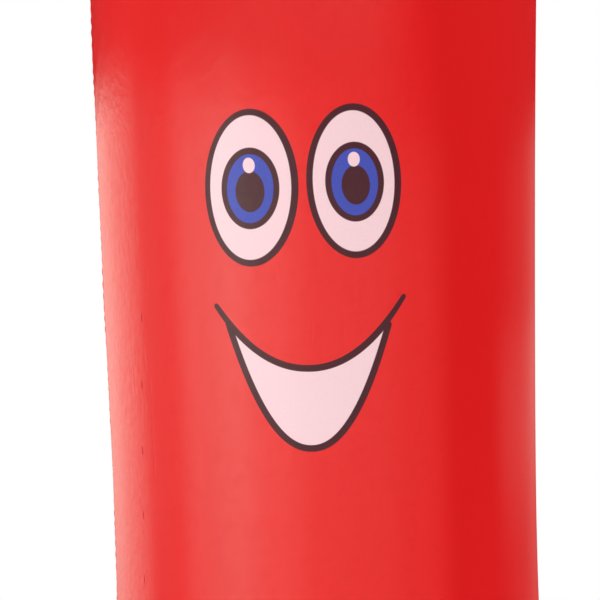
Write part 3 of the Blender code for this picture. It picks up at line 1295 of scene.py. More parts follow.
@dataclass(frozen=True)
class SleeveLine:
    """A sleeve's middle line, an arc of even bend in one upright plane.

    Slopes are in degrees above level, and swing is how far the sleeve is turned
    towards the back.
    """

    side: Side
    root_slope: float
    tip_slope: float
    swing: float
    form: TubeForm
    length: float = 0.560

    @property
    def out(self) -> Vector:
        """Return the level direction in which the sleeve leaves the tube."""
        swing = radians(self.swing)
        return Vector((self.side.value * cos(swing), sin(swing), 0.0))

    @property
    def root(self) -> Vector:
        """Return where the middle line meets the tube's form.

        Returns:
            The place.
        """
        height = self.form.sleeve_height
        reach = self.form.radius + self.form.swell(height)
        return Vector((self.form.sway(height), 0.0, height)) + reach * self.out

    def slope(self, along: float) -> float:
        """Return the line's slope in radians at a place along it."""
        share = max(along, 0.0) / self.length
        return radians(self.root_slope + (self.tip_slope - self.root_slope) * share)

    def middle(self, along: float) -> Vector:
        """Return the line's place at a distance along it.

        Args:
            along: The distance from the root, less than 0 inside the tube.

        Returns:
            The place.
        """
        first, slope = radians(self.root_slope), self.slope(along)
        bend = radians(self.tip_slope - self.root_slope) / self.length
        if along <= 0.0:
            run, rise = along * cos(first), along * sin(first)
        else:
            run = (sin(slope) - sin(first)) / bend
            rise = (cos(first) - cos(slope)) / bend
        return self.root + run * self.out + Vector((0.0, 0.0, rise))

    def place(self, along: float) -> Matrix:
        """Return a matrix with X to the bend's inner side and Z along the line.

        Args:
            along: The distance from the root.

        Returns:
            The matrix.
        """
        slope, out = self.slope(along), self.out
        heading = cos(slope) * out + sin(slope) * UP
        inner = cos(slope) * UP - sin(slope) * out
        return set_up(self.middle(along), inner, heading.cross(inner), heading)


# --- the body tube
class Wall(Enum):
    """Which part of a walled cloth a face belongs to."""

    OUTER = "outer"
    INNER = "inner"
    RIM = "rim"


@dataclass
class BodyTube:
    """The wrapped panel with its printed face, base hem, side seam and air holes.

    The side seam is stitched once more behind its roll, and a row of bar tacks
    runs down the cloth between the seam and the face.
    """

    form: TubeForm
    lines: Sequence[SleeveLine]
    finish: Material
    thread: Material
    columns: int = 224
    cloth: float = 0.0016
    hem_cloth: float = 0.0030
    hem_height: float = 0.030
    hem_stitch_heights: Pair = (0.0050, 0.0270)
    top_stitch_depth: float = 0.0045
    air_hole_radius: float = 0.046
    air_hole_reach: float = -0.060
    seam_allowance: float = 0.010
    seam_end: float = 0.001
    seam_step: float = 0.0010
    seam_sunk: float = 0.00075
    seam_sway: Pair = (0.00022, 300.0)
    seam_stitch_off: float = 0.0036
    seam_stitch_start: float = 0.004
    seam_stitch_length: float = 1.732
    first_tack: Pair = (-0.1035, 1.4764)
    tack_pitch: float = 0.0357
    tack_sizes: tuple[float, ...] = (0.15, 0.0005, 0.0004)
    tack_drift: float = 0.020
    tack_drift_rows: float = 7.0
    tacks: int = 39
    outer_zones: tuple[Pair, ...] = (
        (0.060, 0.004), (1.080, 0.011), (1.250, 0.005),
        (1.320, 0.008), (1.660, 0.0031), (1.740, 0.004),
    )
    inner_zones: tuple[Pair, ...] = ((1.090, 0.045), (1.250, 0.008), (1.740, 0.035))
    # (flat cloth, map) pairs: the map gives the face more room than the rest
    map_across: tuple[Pair, ...] = (
        (-0.1885, 0.004), (-0.075, 0.120), (0.065, 0.640), (0.5655, 0.996),
    )
    map_up: tuple[Pair, ...] = ((0.0, 0.004), (1.400, 0.340), (1.600, 0.760), (1.740, 0.820))
    rim_rows: tuple[float, ...] = (0.826, 0.834, 0.842, 0.850)
    rim_room: float = 0.005
    rim_facing: float = 0.6
    inner_room: Pair = (0.862, 0.996)

    @property
    def flat(self) -> Pair:
        """Return the cut panel's width and length, with its turnings."""
        width = tau * self.form.radius + 2.0 * self.seam_allowance
        return width, self.form.height + 2.0 * self.hem_height + self.seam_allowance

    def walls(self) -> Shape:
        """Spin the panel's two faces and give them the tube's form and folds.

        Returns:
            The tube's mesh, without its air holes.
        """
        radius = self.form.radius
        outer = [(radius, level) for level in graded(0.0, self.outer_zones)]
        lined = graded(self.hem_height, self.inner_zones)
        inner = [(radius - self.cloth, level) for level in lined]
        hem = [(radius - self.hem_cloth, level) for level in (self.hem_height, 0.0)]
        shape = lathe(outer + inner[::-1] + hem, self.columns)
        for vert in shape.verts:
            inset = radius - hypot(vert.co.x, vert.co.y)
            vert.co = self.form.spot(vert.co.z, atan2(vert.co.y, vert.co.x), -inset)
        return shape

    def open_air_hole(self, shape: Shape, line: SleeveLine) -> None:
        """Cut a round air hole through both faces and close its edge.

        Args:
            shape: The tube's mesh.
            line: The middle line of the sleeve over the hole.
        """
        place = line.place(0.0)
        back, axis = place.inverted(), place.to_3x3().col[2]

        def inside(spot: Vector) -> bool:
            """Tell whether a place is in the hole."""
            own = back @ spot
            return own.z > self.air_hole_reach and hypot(own.x, own.y) < self.air_hole_radius

        gone = [face for face in shape.faces if inside(face.calc_center_median())]
        bmesh.ops.delete(shape, geom=gone, context="FACES")
        edges = [edge for edge in shape.edges if edge.is_boundary]
        for vert in {vert for edge in edges for vert in edge.verts}:
            turn, reach = self.form.polar(vert.co)
            inset = self.form.skin(vert.co.z, turn) - reach
            own = back @ vert.co
            grow = self.air_hole_radius / hypot(own.x, own.y)
            spot = place @ Vector((own.x * grow, own.y * grow, own.z))
            for _ in range(4):
                turn, reach = self.form.polar(spot)
                short = self.form.skin(spot.z, turn) - inset - reach
                spot = spot + axis * (short / spoke(turn).dot(axis))
            vert.co = spot
        bmesh.ops.bridge_loops(shape, edges=edges)

    def wall_of(self, face: Face) -> Wall:
        """Tell which part of the wall a face belongs to.

        Args:
            face: One of the tube's faces.

        Returns:
            The part.
        """
        turn, _ = self.form.polar(face.calc_center_median())
        facing = face.normal.dot(spoke(turn))
        if abs(facing) < self.rim_facing:
            return Wall.RIM
        return Wall.OUTER if facing > 0.0 else Wall.INNER

    @staticmethod
    def between(pairs: Sequence[Pair], value: float) -> float:
        """Read a value off a line through pairs, and beyond its ends.

        Args:
            pairs: The line's corners, from left to right.
            value: The place to read it at.

        Returns:
            The line's height there.
        """
        ends = zip(pairs, pairs[1:])
        (low, first), (high, second) = next(
            (end for end in ends if value <= end[1][0]), (pairs[-2], pairs[-1])
        )
        return first + (second - first) * (value - low) / (high - low)

    def map_spot(
        self, wall: Wall, across: float, height: float, lining: bool, middle: float
    ) -> Pair:
        """Return a corner's place in the bake map.

        Args:
            wall: The part that the corner's face belongs to.
            across: The flat cloth's coordinate around the tube.
            height: The corner's height.
            lining: Whether the corner is on the inner face.
            middle: The height of the face's middle.

        Returns:
            The place, from 0 to 1 both ways.
        """
        right = self.between(self.map_across, across)
        if wall is Wall.OUTER:
            return right, self.between(self.map_up, height)
        if wall is Wall.INNER:
            low, high = self.inner_room
            return right, low + (high - low) * height / self.form.height
        if middle < 0.5 * self.hem_height:
            row = 0
        elif middle > self.form.height - self.seam_allowance:
            row = 1
        else:
            row = 2 if middle < self.form.sleeve_height else 3
        return right, self.rim_rows[row] + (self.rim_room if lining else 0.0)

    def write_maps(self, shape: Shape) -> None:
        """Write the flat cloth's coordinates and the bake map.

        Args:
            shape: The tube's mesh.
        """
        shape.normal_update()
        cloth_map = shape.loops.layers.uv.new(CLOTH_MAP)
        bake_map = shape.loops.layers.uv.new(BAKE_MAP)
        for face, corners in unrolled(shape, self.form.sway):
            wall, middle = self.wall_of(face), face.calc_center_median().z
            for loop, turn in corners:
                spot = loop.vert.co
                across = self.form.cloth_across(turn)
                _, reach = self.form.polar(spot)
                lining = reach < self.form.skin(spot.z, turn) - 0.5 * self.cloth
                loop[cloth_map].uv = (across, spot.z)
                loop[bake_map].uv = self.map_spot(wall, across, spot.z, lining, middle)

    def seam_spots(self) -> list[Vector]:
        """List places along the side seam, a little below the skin.

        Returns:
            The places, from the base up.
        """
        count = round((self.form.height - 2.0 * self.seam_end) / self.seam_step)
        sway, rate = self.seam_sway
        spots = []
        for number in range(count + 1):
            height = self.seam_end + number * self.seam_step
            turn = self.form.seam_place(height) + sway / self.form.radius * sin(rate * height)
            spots.append(self.form.spot(height, turn, -self.seam_sunk))
        return spots

    def beside_seam(self, share: float) -> tuple[Vector, Vector]:
        """Follow the stitches up the side seam, as a path.

        Args:
            share: The share of the way, from 0 to 1.

        Returns:
            The spot and the skin's outward direction.
        """
        height = self.seam_stitch_start + self.seam_stitch_length * share
        turn = self.form.seam_place(height) - self.seam_stitch_off / self.form.radius
        return self.form.spot(height, turn), spoke(turn)

    def ring(self, height: float) -> Path:
        """Return a path around the tube at a height."""
        return around(lambda turn: (self.form.spot(height, turn), spoke(turn)))

    def bar_tacks(self) -> StitchRow:
        """Make the row of bar tacks.

        Returns:
            The row.
        """
        row = StitchRow("bar_tacks", "tube_nylon", self.tack_pitch, *self.tack_sizes)
        for number in range(self.tacks):
            height = self.first_tack[1] - number * self.tack_pitch
            drift = self.tack_drift * (1.0 - exp(-number / self.tack_drift_rows))
            turn = (self.first_tack[0] - drift) / self.form.radius - 0.5 * pi
            spot, ahead = self.form.spot(height, turn), self.form.spot(height + 0.001, turn)
            row.add(spot, ahead - spot, spoke(turn))
        return row

    def sew(self) -> list[Piece]:
        """Make the side seam's roll and the rows of stitches.

        Returns:
            The pieces.
        """
        length = tau * self.form.radius
        roll = Welt("side_seam", "tube_nylon", radius=0.0011, swell=0.06)
        pieces = [roll.piece(self.seam_spots(), False, self.finish, self.seam_step)]
        beside = StitchRow("side_seam_stitches", "tube_nylon")
        beside.run(self.beside_seam, self.seam_stitch_length, closed=False)
        hem = StitchRow("hem_stitches", "tube_nylon")
        for height in self.hem_stitch_heights:
            hem.run(self.ring(height), length)
        top = StitchRow("tube_top_stitches", "tube_nylon")
        top.run(self.ring(self.form.height - self.top_stitch_depth), length)
        rows = (beside, self.bar_tacks(), hem, top)
        return pieces + [row.piece(self.thread) for row in rows]

    def build(self) -> None:
        shape = self.walls()
        for line in self.lines:
            self.open_air_hole(shape, line)
        self.write_maps(shape)
        tube = finished_piece("body_tube_cloth", shape, self.finish, "tube_nylon", ["body_tube"])
        self.flat
        self.sew()


# --- the crown
@dataclass
class Crown:
    """The domed panel on the tube's top, open in its middle as a vent.

    The gathers are the depth and reach of the puckers at the outer edge and at
    the vent, and spare is the cloth that the flat cut has beyond its turning.
    """

    form: TubeForm
    finish: Material
    thread: Material
    rise: float = 0.055
    vent_radius: float = 0.045
    cloth: float = 0.0016
    columns: int = 224
    rows: int = 26
    turning: float = 0.010
    spare: float = 0.012
    edge_gather: Pair = (0.00042, 0.10)
    vent_gather: Pair = (0.00045, 0.12)
    softness: float = 0.0009
    roll_step: float = 0.0013
    roll_sunk: float = 0.0004
    stitch_shares: Pair = (0.045, 0.955)

    @property
    def foot(self) -> float:
        """Return the height of the panel's outer edge."""
        return self.form.height + SEWN_GAP

    def dome(self, share: float, turn: float, inset: float = 0.0) -> Vector:
        """Return a place on the dome.

        Args:
            share: From 0 at the outer edge to 1 at the vent.
            turn: The turn about the tube's middle line.
            inset: The depth below the outer face.

        Returns:
            The place.
        """
        angle = 0.5 * pi * share
        across = self.form.radius - self.vent_radius
        reach = self.vent_radius + (across - inset) * cos(angle)
        height = self.foot + (self.rise - inset) * sin(angle)
        near_edge = exp(-share / self.edge_gather[1])
        near_vent = exp(-(1.0 - share) / self.vent_gather[1])
        drawn = sin(22.0 * turn + 0.9 * sin(3.0 * turn))
        soft = sin(6.0 * turn + 2.0 * share) * sin(pi * share)
        lift = self.edge_gather[0] * near_edge * gather(turn)
        lift += self.vent_gather[0] * near_vent * drawn + self.softness * soft
        reach += self.form.folds(height, turn) + lift * cos(angle)
        height += lift * sin(angle)
        return Vector((self.form.sway(height) + reach * cos(turn), reach * sin(turn), height))

    def walls(self) -> Shape:
        """Spin the panel's two faces, flat at first, and lift them to the dome.

        Returns:
            The crown's mesh.
        """
        shares = [row / self.rows for row in range(self.rows + 1)]
        flat_rows = [(1.0 - 0.5 * share, share) for share in shares]
        lining = [(0.99 - 0.5 * share, share) for share in reversed(shares)]
        shape = lathe(flat_rows + lining, self.columns)
        cloth_map = shape.loops.layers.uv.new(CLOTH_MAP)
        arc = 0.25 * pi * (self.rise + self.form.radius - self.vent_radius)
        for _, corners in unrolled(shape):
            for loop, turn in corners:
                up = self.form.height + arc * loop.vert.co.z
                loop[cloth_map].uv = (self.form.cloth_across(turn), up)
        for vert in shape.verts:
            share, turn = vert.co.z, atan2(vert.co.y, vert.co.x)
            inner = hypot(vert.co.x, vert.co.y) < 0.995 - 0.5 * share
            vert.co = self.dome(share, turn, self.cloth if inner else 0.0)
        face_out(shape)
        return shape

    def ring(self, share: float) -> Path:
        """Return a path around the dome at a share of its rise."""
        flat, up = cos(0.5 * pi * share), sin(0.5 * pi * share) * UP
        return around(lambda turn: (self.dome(share, turn), flat * spoke(turn) + up))

    def build(self) -> None:
        """Make the crown, the rolled seam on the tube's top and the stitches."""
        form = self.form
        piece = finished_piece("crown_cloth", self.walls(), self.finish, "crown_nylon", ["crown_panel"])
        length = tau * form.radius
        count = round(length / self.roll_step)
        turns = [tau * number / count for number in range(count)]
        spots = [form.spot(form.height, turn, -self.roll_sunk) for turn in turns]
        seam = Welt("crown_seam", "crown_nylon", radius=0.0012, swell=0.22)
        roll = seam.piece(spots, True, self.finish, length / count)
        stitches = StitchRow("crown_stitches", "crown_nylon")
        for share, radius in zip(self.stitch_shares, (form.radius, self.vent_radius)):
            stitches.run(self.ring(share), tau * radius)

        outer = form.radius + self.turning + self.spare
        vent = self.vent_radius - 0.5 * self.turning
        2.0 * outer
        2.0 * outer
        pi * (outer**2 - vent**2)
        stitches.piece(self.thread)


# --- the fringes
def grow_row(shape: Shape, edges: Sequence[Edge]) -> tuple[list[Vert], list[Edge]]:
    """Grow a row of faces from edges.

    Args:
        shape: The mesh.
        edges: The edges that the row grows from.

    Returns:
        The new corners, and the new edges that lie between two of them.
    """
    made = bmesh.ops.extrude_edge_only(shape, edges=edges)["geom"]
    corners = [part for part in made if isinstance(part, Vert)]
    fresh = set(corners)
    return corners, [part for part in made if isinstance(part, Edge) and fresh >= {*part.verts}]


@dataclass
class Fringe:
    """A band round an open edge and the ribbons cut in it.

    A ribbon leaves its band at root_lean degrees from the band's axis and ends at
    tip_lean. Lengths differ by the share uneven, and leans by flutter. Ribbons on
    the band's lower side lean by fall more, and those on its upper side less.
    """

    name: str
    place: Matrix
    radius: float
    finish: Material
    thread: Material
    ribbons: int = 12
    ribbon_share: float = 0.66
    length: float = 0.150
    uneven: float = 0.18
    steps: int = 6
    root_lean: float = 4.0
    tip_lean: float = 44.0
    flutter: float = 12.0
    fall: float = 34.0
    least_lean: float = 2.0
    band_height: float = 0.016
    band_rows: int = 5
    tab_columns: int = 6
    gap_columns: int = 3
    finer: int = 6
    cloth: float = 0.0007
    twist: float = 24.0
    wander: float = 7.0
    quiver: float = 4.0
    ripple: float = 0.0011
    flat_from: float = 0.35
    curl: float = 0.0012
    slant_cut: float = 0.0035
    stitch_height: float = 0.004

    @property
    def pitch(self) -> float:
        """Return the turn between two ribbons."""
        return tau / self.ribbons

    @property
    def half_tab(self) -> float:
        """Return half the turn that a ribbon takes of the band."""
        return 0.5 * self.pitch * self.ribbon_share

    def ribbon_length(self, number: int) -> float:
        """Return a ribbon's own length."""
        return self.length * (1.0 + self.uneven * sin(3.0 * number + 0.5))

    def leans(self, number: int, upward: float) -> list[float]:
        """List a ribbon's lean at each of the solid's steps.

        Args:
            number: The ribbon's number.
            upward: How far up the ribbon's side of the band faces, from -1 to 1.

        Returns:
            The leans in radians.
        """
        tip = self.tip_lean + self.flutter * sin(5.0 * number + 1.0) - self.fall * upward
        leans = []
        for part in range(self.steps):
            share = (part + 0.5) / self.steps
            wave = self.flutter * sin(tau * share + 2.3 * number) * share
            lean = self.root_lean + (tip - self.root_lean) * share + wave
            leans.append(radians(max(lean, self.least_lean)))
        return leans

    @staticmethod
    def read_lean(leans: Sequence[float], share: float) -> float:
        """Read a lean between the solid's steps, smoothly.

        Args:
            leans: The lean at each step.
            share: The share of the ribbon's length.

        Returns:
            The lean in radians.
        """
        place = share * len(leans) - 0.5
        low = min(max(floor(place), 0), len(leans) - 1)
        high = min(low + 1, len(leans) - 1)
        return leans[low] + (leans[high] - leans[low]) * min(max(place - low, 0.0), 1.0)

    def column_turns(self) -> list[float]:
        """List the turns of the band's columns, close together in the tabs' gaps.

        Returns:
            The turns, ribbon by ribbon.
        """
        turns = []
        tab = 2.0 * self.half_tab
        for number in range(self.ribbons):
            start = number * self.pitch - self.half_tab
            for wide, count in ((tab, self.tab_columns), (self.pitch - tab, self.gap_columns)):
                turns += [start + wide * part / count for part in range(count)]
                start += wide
        return turns

    def band(self) -> tuple[Shape, list[list[Edge]]]:
        """Make the band.

        Returns:
            Its mesh, and the top edges that each ribbon grows from.
        """
        turns = self.column_turns()
        shape = bmesh.new()
        column = shape.verts.layers.int.new("column")
        made = bmesh.ops.create_circle(shape, segments=len(turns), radius=self.radius)["verts"]
        for vert in made:
            vert[column] = round(atan2(vert.co.y, vert.co.x) / tau * len(turns)) % len(turns)
            vert.co = self.radius * spoke(turns[vert[column]])
        edges = shape.edges[:]
        for _ in range(self.band_rows):
            corners, edges = grow_row(shape, edges)
            bmesh.ops.translate(shape, vec=self.band_height / self.band_rows * UP, verts=corners)
        per = self.tab_columns + self.gap_columns
        tabs: list[list[Edge]] = [[] for _ in range(self.ribbons)]
        for edge in edges:
            first, second = sorted(vert[column] for vert in edge.verts)
            if second - first == 1 and first % per < self.tab_columns:
                tabs[first // per].append(edge)
        return shape, tabs

    def grow(self, shape: Shape, number: int, edges: list[Edge]) -> None:
        """Grow one ribbon from its tab, row by row.

        Args:
            shape: The fringe's mesh.
            number: The ribbon's number.
            edges: The tab's top edges.
        """
        column = shape.verts.layers.int["column"]
        flat = shape.verts.layers.float_vector["flat"]
        turn = number * self.pitch
        side, hinge = spoke(turn), spoke(turn + 0.5 * pi)
        leans = self.leans(number, (self.place.to_3x3() @ side).z)
        rows = self.steps * self.finer
        step = self.ribbon_length(number) / rows
        seat = self.radius * cos(self.half_tab) * side + self.band_height * UP
        sagitta = self.radius * (1.0 - cos(self.half_tab))
        half = self.radius * sin(self.half_tab)
        first = number * (self.tab_columns + self.gap_columns)
        turned = self.twist * sin(4.1 * number + 0.7)
        wandered = self.wander * sin(2.7 * number + 2.0)
        cut_by = self.slant_cut * sin(1.7 * number)
        for row in range(1, rows + 1):
            share = row / rows
            lean = self.read_lean(leans, share - 0.5 / rows)
            yaw = radians((wandered + self.quiver * sin(7.0 * share + number)) * share)
            outward = cos(yaw) * side + sin(yaw) * hinge
            across = cos(yaw) * hinge - sin(yaw) * side
            heading = cos(lean) * UP + sin(lean) * outward
            seat = seat + step * heading
            spin = Matrix.Rotation(radians(turned * share * share), 3, heading)
            lie = spin @ heading.cross(across).normalized()
            across = spin @ across
            curl = sagitta * (1.0 - eased(0.0, self.flat_from, share))
            curl += self.curl * sin(5.0 * share + number) * share
            corners, edges = grow_row(shape, edges)
            for vert in corners:
                place = 2.0 * (vert[column] - first) / self.tab_columns - 1.0
                ripple = abs(place) ** 3 * sin(26.0 * share + 2.0 * place + number)
                off = curl * (1.0 - place * place) + self.ripple * share * ripple
                cut = cut_by * place if row == rows else 0.0
                vert.co = seat + place * half * across - off * lie + cut * heading
                vert[flat] = (turn * self.radius + place * half, self.band_height + row * step, 0.0)

    def write_map(self, shape: Shape) -> None:
        """Write the flat cloth's coordinates, with each face in one piece.

        Args:
            shape: The fringe's mesh.
        """
        flat = shape.verts.layers.float_vector["flat"]
        cloth_map = shape.loops.layers.uv.new(CLOTH_MAP)
        length = tau * self.radius
        for face in shape.faces:
            most = max(loop.vert[flat].x for loop in face.loops)
            for loop in face.loops:
                place = loop.vert[flat]
                behind = most - place.x > 0.5 * length
                loop[cloth_map].uv = (place.x + (length if behind else 0.0), place.y)

    def build(self) -> None:
        shape, tabs = self.band()
        band_faces = shape.faces[:]
        flat = shape.verts.layers.float_vector.new("flat")
        for vert in shape.verts:
            vert[flat] = (atan2(vert.co.y, vert.co.x) % tau * self.radius, vert.co.z, 0.0)
        for number, edges in enumerate(tabs):
            self.grow(shape, number, edges)
        self.write_map(shape)
        face_out(shape, band_faces)
        bmesh.ops.transform(shape, matrix=self.place, verts=shape.verts[:])
        piece = finished_piece(self.name + "_cloth", shape, self.finish, "fringe_nylon", [self.name])
        add_wall(piece, self.cloth)

        def path(share: float) -> tuple[Vector, Vector]:
            """Follow the band's lower edge."""
            outward, low = spoke(tau * share), self.stitch_height * UP
            return self.place @ (self.radius * outward + low), self.place.to_3x3() @ outward

        length = tau * self.radius
        stitches = StitchRow(self.name + "_stitches", "fringe_nylon").run(path, length)
        ribbon_width = 2.0 * self.half_tab * self.radius
        area = length * self.band_height
        area += sum(ribbon_width * self.ribbon_length(number) for number in range(self.ribbons))
        self.band_height + self.length * (1.0 + self.uneven)
        stitches.piece(self.thread)


# --- the sleeves
@dataclass(frozen=True)
class BendCrease:
    """A crease across the inner side of a bent sleeve.

    Share is its place along the sleeve, lean is how far it slants in metres for
    each radian round the sleeve, and middle is the turn where it is deepest.
    """

    share: float
    depth: float
    half_width: float = 0.014
    middle: float = 0.0
    lean: float = 0.0
    fade: float = 1.5

    def at(self, along: float, turn: float, length: float) -> float:
        """Return how far the cloth is pushed in at a place on the sleeve.

        Args:
            along: The place's distance along the sleeve.
            turn: Its turn, 0 on the bend's inner side.
            length: The sleeve's length.

        Returns:
            The depth.
        """
        off = nearest(turn - self.middle)
        inner = max(cos(off), 0.0) ** self.fade
        return self.depth * inner * bell(
            (along - self.share * length + self.lean * off) / self.half_width
        )


@dataclass(frozen=True)
class SleeveEnd:
    """A sewn end of a sleeve: its radius, and its rolled seam and stitches.

    The seam and the stitches are given by how far they lie from the end.
    """

    name: str
    radius: float
    roll_radius: float
    roll_off: float
    stitch_off: float


@dataclass
class Sleeve:
    """A tapered sleeve, bent upwards, sewn over its air hole, with its cuff's fringe.

    The gathers are the depth and reach of the puckers at an end, and slack is the
    height of the two soft waves between the ends.
    """

    line: SleeveLine
    finish: Material
    thread: Material
    fringe_finish: Material
    root: SleeveEnd = SleeveEnd("root", 0.050, 0.0013, 0.0003, 0.0055)
    cuff: SleeveEnd = SleeveEnd("cuff", 0.045, 0.0009, 0.0, 0.0045)
    roll_step: float = 0.0014
    roll_swell: float = 0.20
    cloth: float = 0.0012
    columns: int = 96
    rows: int = 150
    root_limits: Pair = (-0.050, 0.080)
    root_gather: Pair = (0.0008, 0.022)
    cuff_gather: Pair = (0.0004, 0.010)
    slack: Pair = (0.0009, 0.0005)
    turning: float = 0.010
    creases: tuple[BendCrease, ...] = (
        BendCrease(0.36, 0.0070),
        BendCrease(0.47, 0.0105),
        BendCrease(0.58, 0.0065),
        BendCrease(0.415, -0.0022, 0.010, 0.3, 0.004),
        BendCrease(0.525, -0.0024, 0.010, -0.3, -0.004),
        BendCrease(0.28, 0.0024, 0.0085, 0.5, 0.012),
        BendCrease(0.68, 0.0026, 0.0085, -0.4, -0.012),
        BendCrease(0.22, 0.0014, 0.0070, -0.7, -0.016),
        BendCrease(0.76, 0.0014, 0.0070, 0.6, 0.014),
        BendCrease(0.44, 0.0016, 0.0060, 1.15, 0.010, 2.5),
        BendCrease(0.50, 0.0016, 0.0060, -1.15, -0.010, 2.5),
    )

    @property
    def side(self) -> str:
        """Return the side's name."""
        return self.line.side.name.lower()

    def radius(self, along: float, turn: float) -> float:
        """Return the sleeve's radius at a place.

        Args:
            along: The place's distance along the sleeve.
            turn: Its turn, 0 on the bend's inner side.

        Returns:
            The radius.
        """
        length = self.line.length
        share = min(max(along / length, 0.0), 1.0)
        radius = self.root.radius + (self.cuff.radius - self.root.radius) * share
        radius -= sum(crease.at(along, turn, length) for crease in self.creases)
        rooted = exp(-max(along, 0.0) / self.root_gather[1])
        ended = exp(-max(length - along, 0.0) / self.cuff_gather[1])
        radius += self.root_gather[0] * rooted * sin(13.0 * turn + sin(3.0 * turn))
        radius += self.cuff_gather[0] * ended * sin(17.0 * turn + sin(4.0 * turn))
        long_wave, short_wave = (height * sin(pi * share) for height in self.slack)
        radius += long_wave * sin(3.0 * turn + 9.0 * share + self.line.side.value)
        radius += short_wave * sin(7.0 * turn - 14.0 * share)
        return radius

    def spot(self, along: float, turn: float) -> Vector:
        """Return a place on the sleeve's outer face."""
        return self.line.place(along) @ (self.radius(along, turn) * spoke(turn))

    def root_edge(self, turn: float) -> float:
        """Return how far along the sleeve its cloth meets the tube's skin, by halving.

        Args:
            turn: The turn round the sleeve.

        Returns:
            The distance along the sleeve.
        """
        form = self.line.form
        low, high = self.root_limits
        for _ in range(26):
            tried = 0.5 * (low + high)
            spot = self.spot(tried, turn)
            tube_turn, reach = form.polar(spot)
            if reach < form.skin(spot.z, tube_turn) + SEWN_GAP:
                low = tried
            else:
                high = tried
        return high

    def panel(self) -> Shape:
        """Make an open tube of even rows, then bend it and trim it to the tube.

        Returns:
            The sleeve's single layer.
        """
        shape = bmesh.new()
        bmesh.ops.create_cone(
            shape, cap_ends=False, segments=self.columns, radius1=1.0, radius2=1.0, depth=1.0
        )
        upright = [edge for edge in shape.edges if edge.verts[0].co.z * edge.verts[1].co.z < 0.0]
        bmesh.ops.subdivide_edges(shape, edges=upright, cuts=self.rows - 1, use_grid_fill=True)
        face_out(shape, shape.faces[:])
        cloth_map = shape.loops.layers.uv.new(CLOTH_MAP)
        for _, corners in unrolled(shape):
            for loop, turn in corners:
                up = (loop.vert.co.z + 0.5) * self.line.length
                loop[cloth_map].uv = (self.root.radius * turn, up)
        edges: dict[int, float] = {}
        for vert in shape.verts:
            share, turn = vert.co.z + 0.5, atan2(vert.co.y, vert.co.x)
            column = round(turn / tau * self.columns * 4)
            if column not in edges:
                edges[column] = self.root_edge(turn)
            start = edges[column]
            vert.co = self.spot(start + (self.line.length - start) * share, turn)
        return shape

    def ring(self, end: SleeveEnd, off: float) -> Path:
        """Return a path round the sleeve, so far from one of its ends.

        Args:
            end: The end that it runs beside.
            off: The distance from that end.

        Returns:
            The path.
        """

        def at_turn(turn: float) -> tuple[Vector, Vector]:
            """Find the path's place at a turn."""
            along = self.root_edge(turn) + off if end is self.root else self.line.length - off
            return self.spot(along, turn), self.line.place(along).to_3x3() @ spoke(turn)

        return around(at_turn)

    def sew(self) -> list[Piece]:
        """Make the rolled seams and stitches of the root and the cuff.

        Returns:
            The pieces.
        """
        pieces = []
        stitches = StitchRow(self.side + "_sleeve_stitches", "sleeve_nylon")
        for end in (self.root, self.cuff):
            length = tau * end.radius
            count = round(length / self.roll_step)
            path = self.ring(end, end.roll_off)
            spots = [path(number / count)[0] for number in range(count)]
            name = f"{self.side}_{end.name}_seam"
            roll = Welt(name, "sleeve_nylon", end.roll_radius, self.roll_swell)
            pieces.append(roll.piece(spots, True, self.finish, length / count))
            stitches.run(self.ring(end, end.stitch_off), length)
        return [*pieces, stitches.piece(self.thread)]

    def build(self) -> None:
        """Make the sleeve, its sewing and its fringe."""
        name = self.side + "_sleeve"
        piece = finished_piece(name + "_cloth", self.panel(), self.finish, "sleeve_nylon", [name])
        add_wall(piece, self.cloth)
        turnings = 2.0 * self.turning
        length = self.line.length + turnings
        tau * self.root.radius + turnings
        (pi * (self.root.radius + self.cuff.radius) + turnings) * length
        self.sew()
        Fringe(
            name=self.side + "_cuff_streamers",
            place=self.line.place(self.line.length) @ Matrix.Translation(SEWN_GAP * UP),
            radius=self.cuff.radius,
            finish=self.fringe_finish,
            thread=self.thread,
        ).build()


# --- the studio
@dataclass(frozen=True)
class LightRing:
    """A ring of soft light round the dancer, between two heights in degrees.

    It grows from none to full over the heights in rise, and fades from full to
    none over those in fall. Its stops are pairs of an azimuth and a brightness.
    Azimuth is 0 in front of the face and grows to the viewer's right, and the
    first and last stops, at -180 and 180, meet behind the dancer.
    """

    rise: Pair
    fall: Pair
    stops: tuple[Pair, ...]

    def shine(self, azimuth: Value, elevation: Value) -> Value:
        """Return the ring's light for a direction.

        Args:
            azimuth: The direction's azimuth in degrees.
            elevation: Its height in degrees.

        Returns:
            The brightness.
        """
        peak = max(brightness for _, brightness in self.stops)
        inputs = {"Fac": azimuth * (1.0 / 360.0) + 0.5}
        ring = add_node(azimuth.tree, "ShaderNodeValToRGB", inputs)
        ring.color_ramp.interpolation = "EASE"
        points = ring.color_ramp.elements
        points[0].position, points[1].position = 0.0, 1.0
        for turn, _ in self.stops[1:-1]:
            points.new((turn + 180.0) / 360.0)
        for point, (_, brightness) in zip(points, self.stops):
            point.color = (brightness / peak,) * 3 + (1.0,)
        within = elevation.smooth(*self.rise) * elevation.smooth(*reversed(self.fall)) * peak
        return Value(azimuth.tree, ring.outputs["Color"]) * within


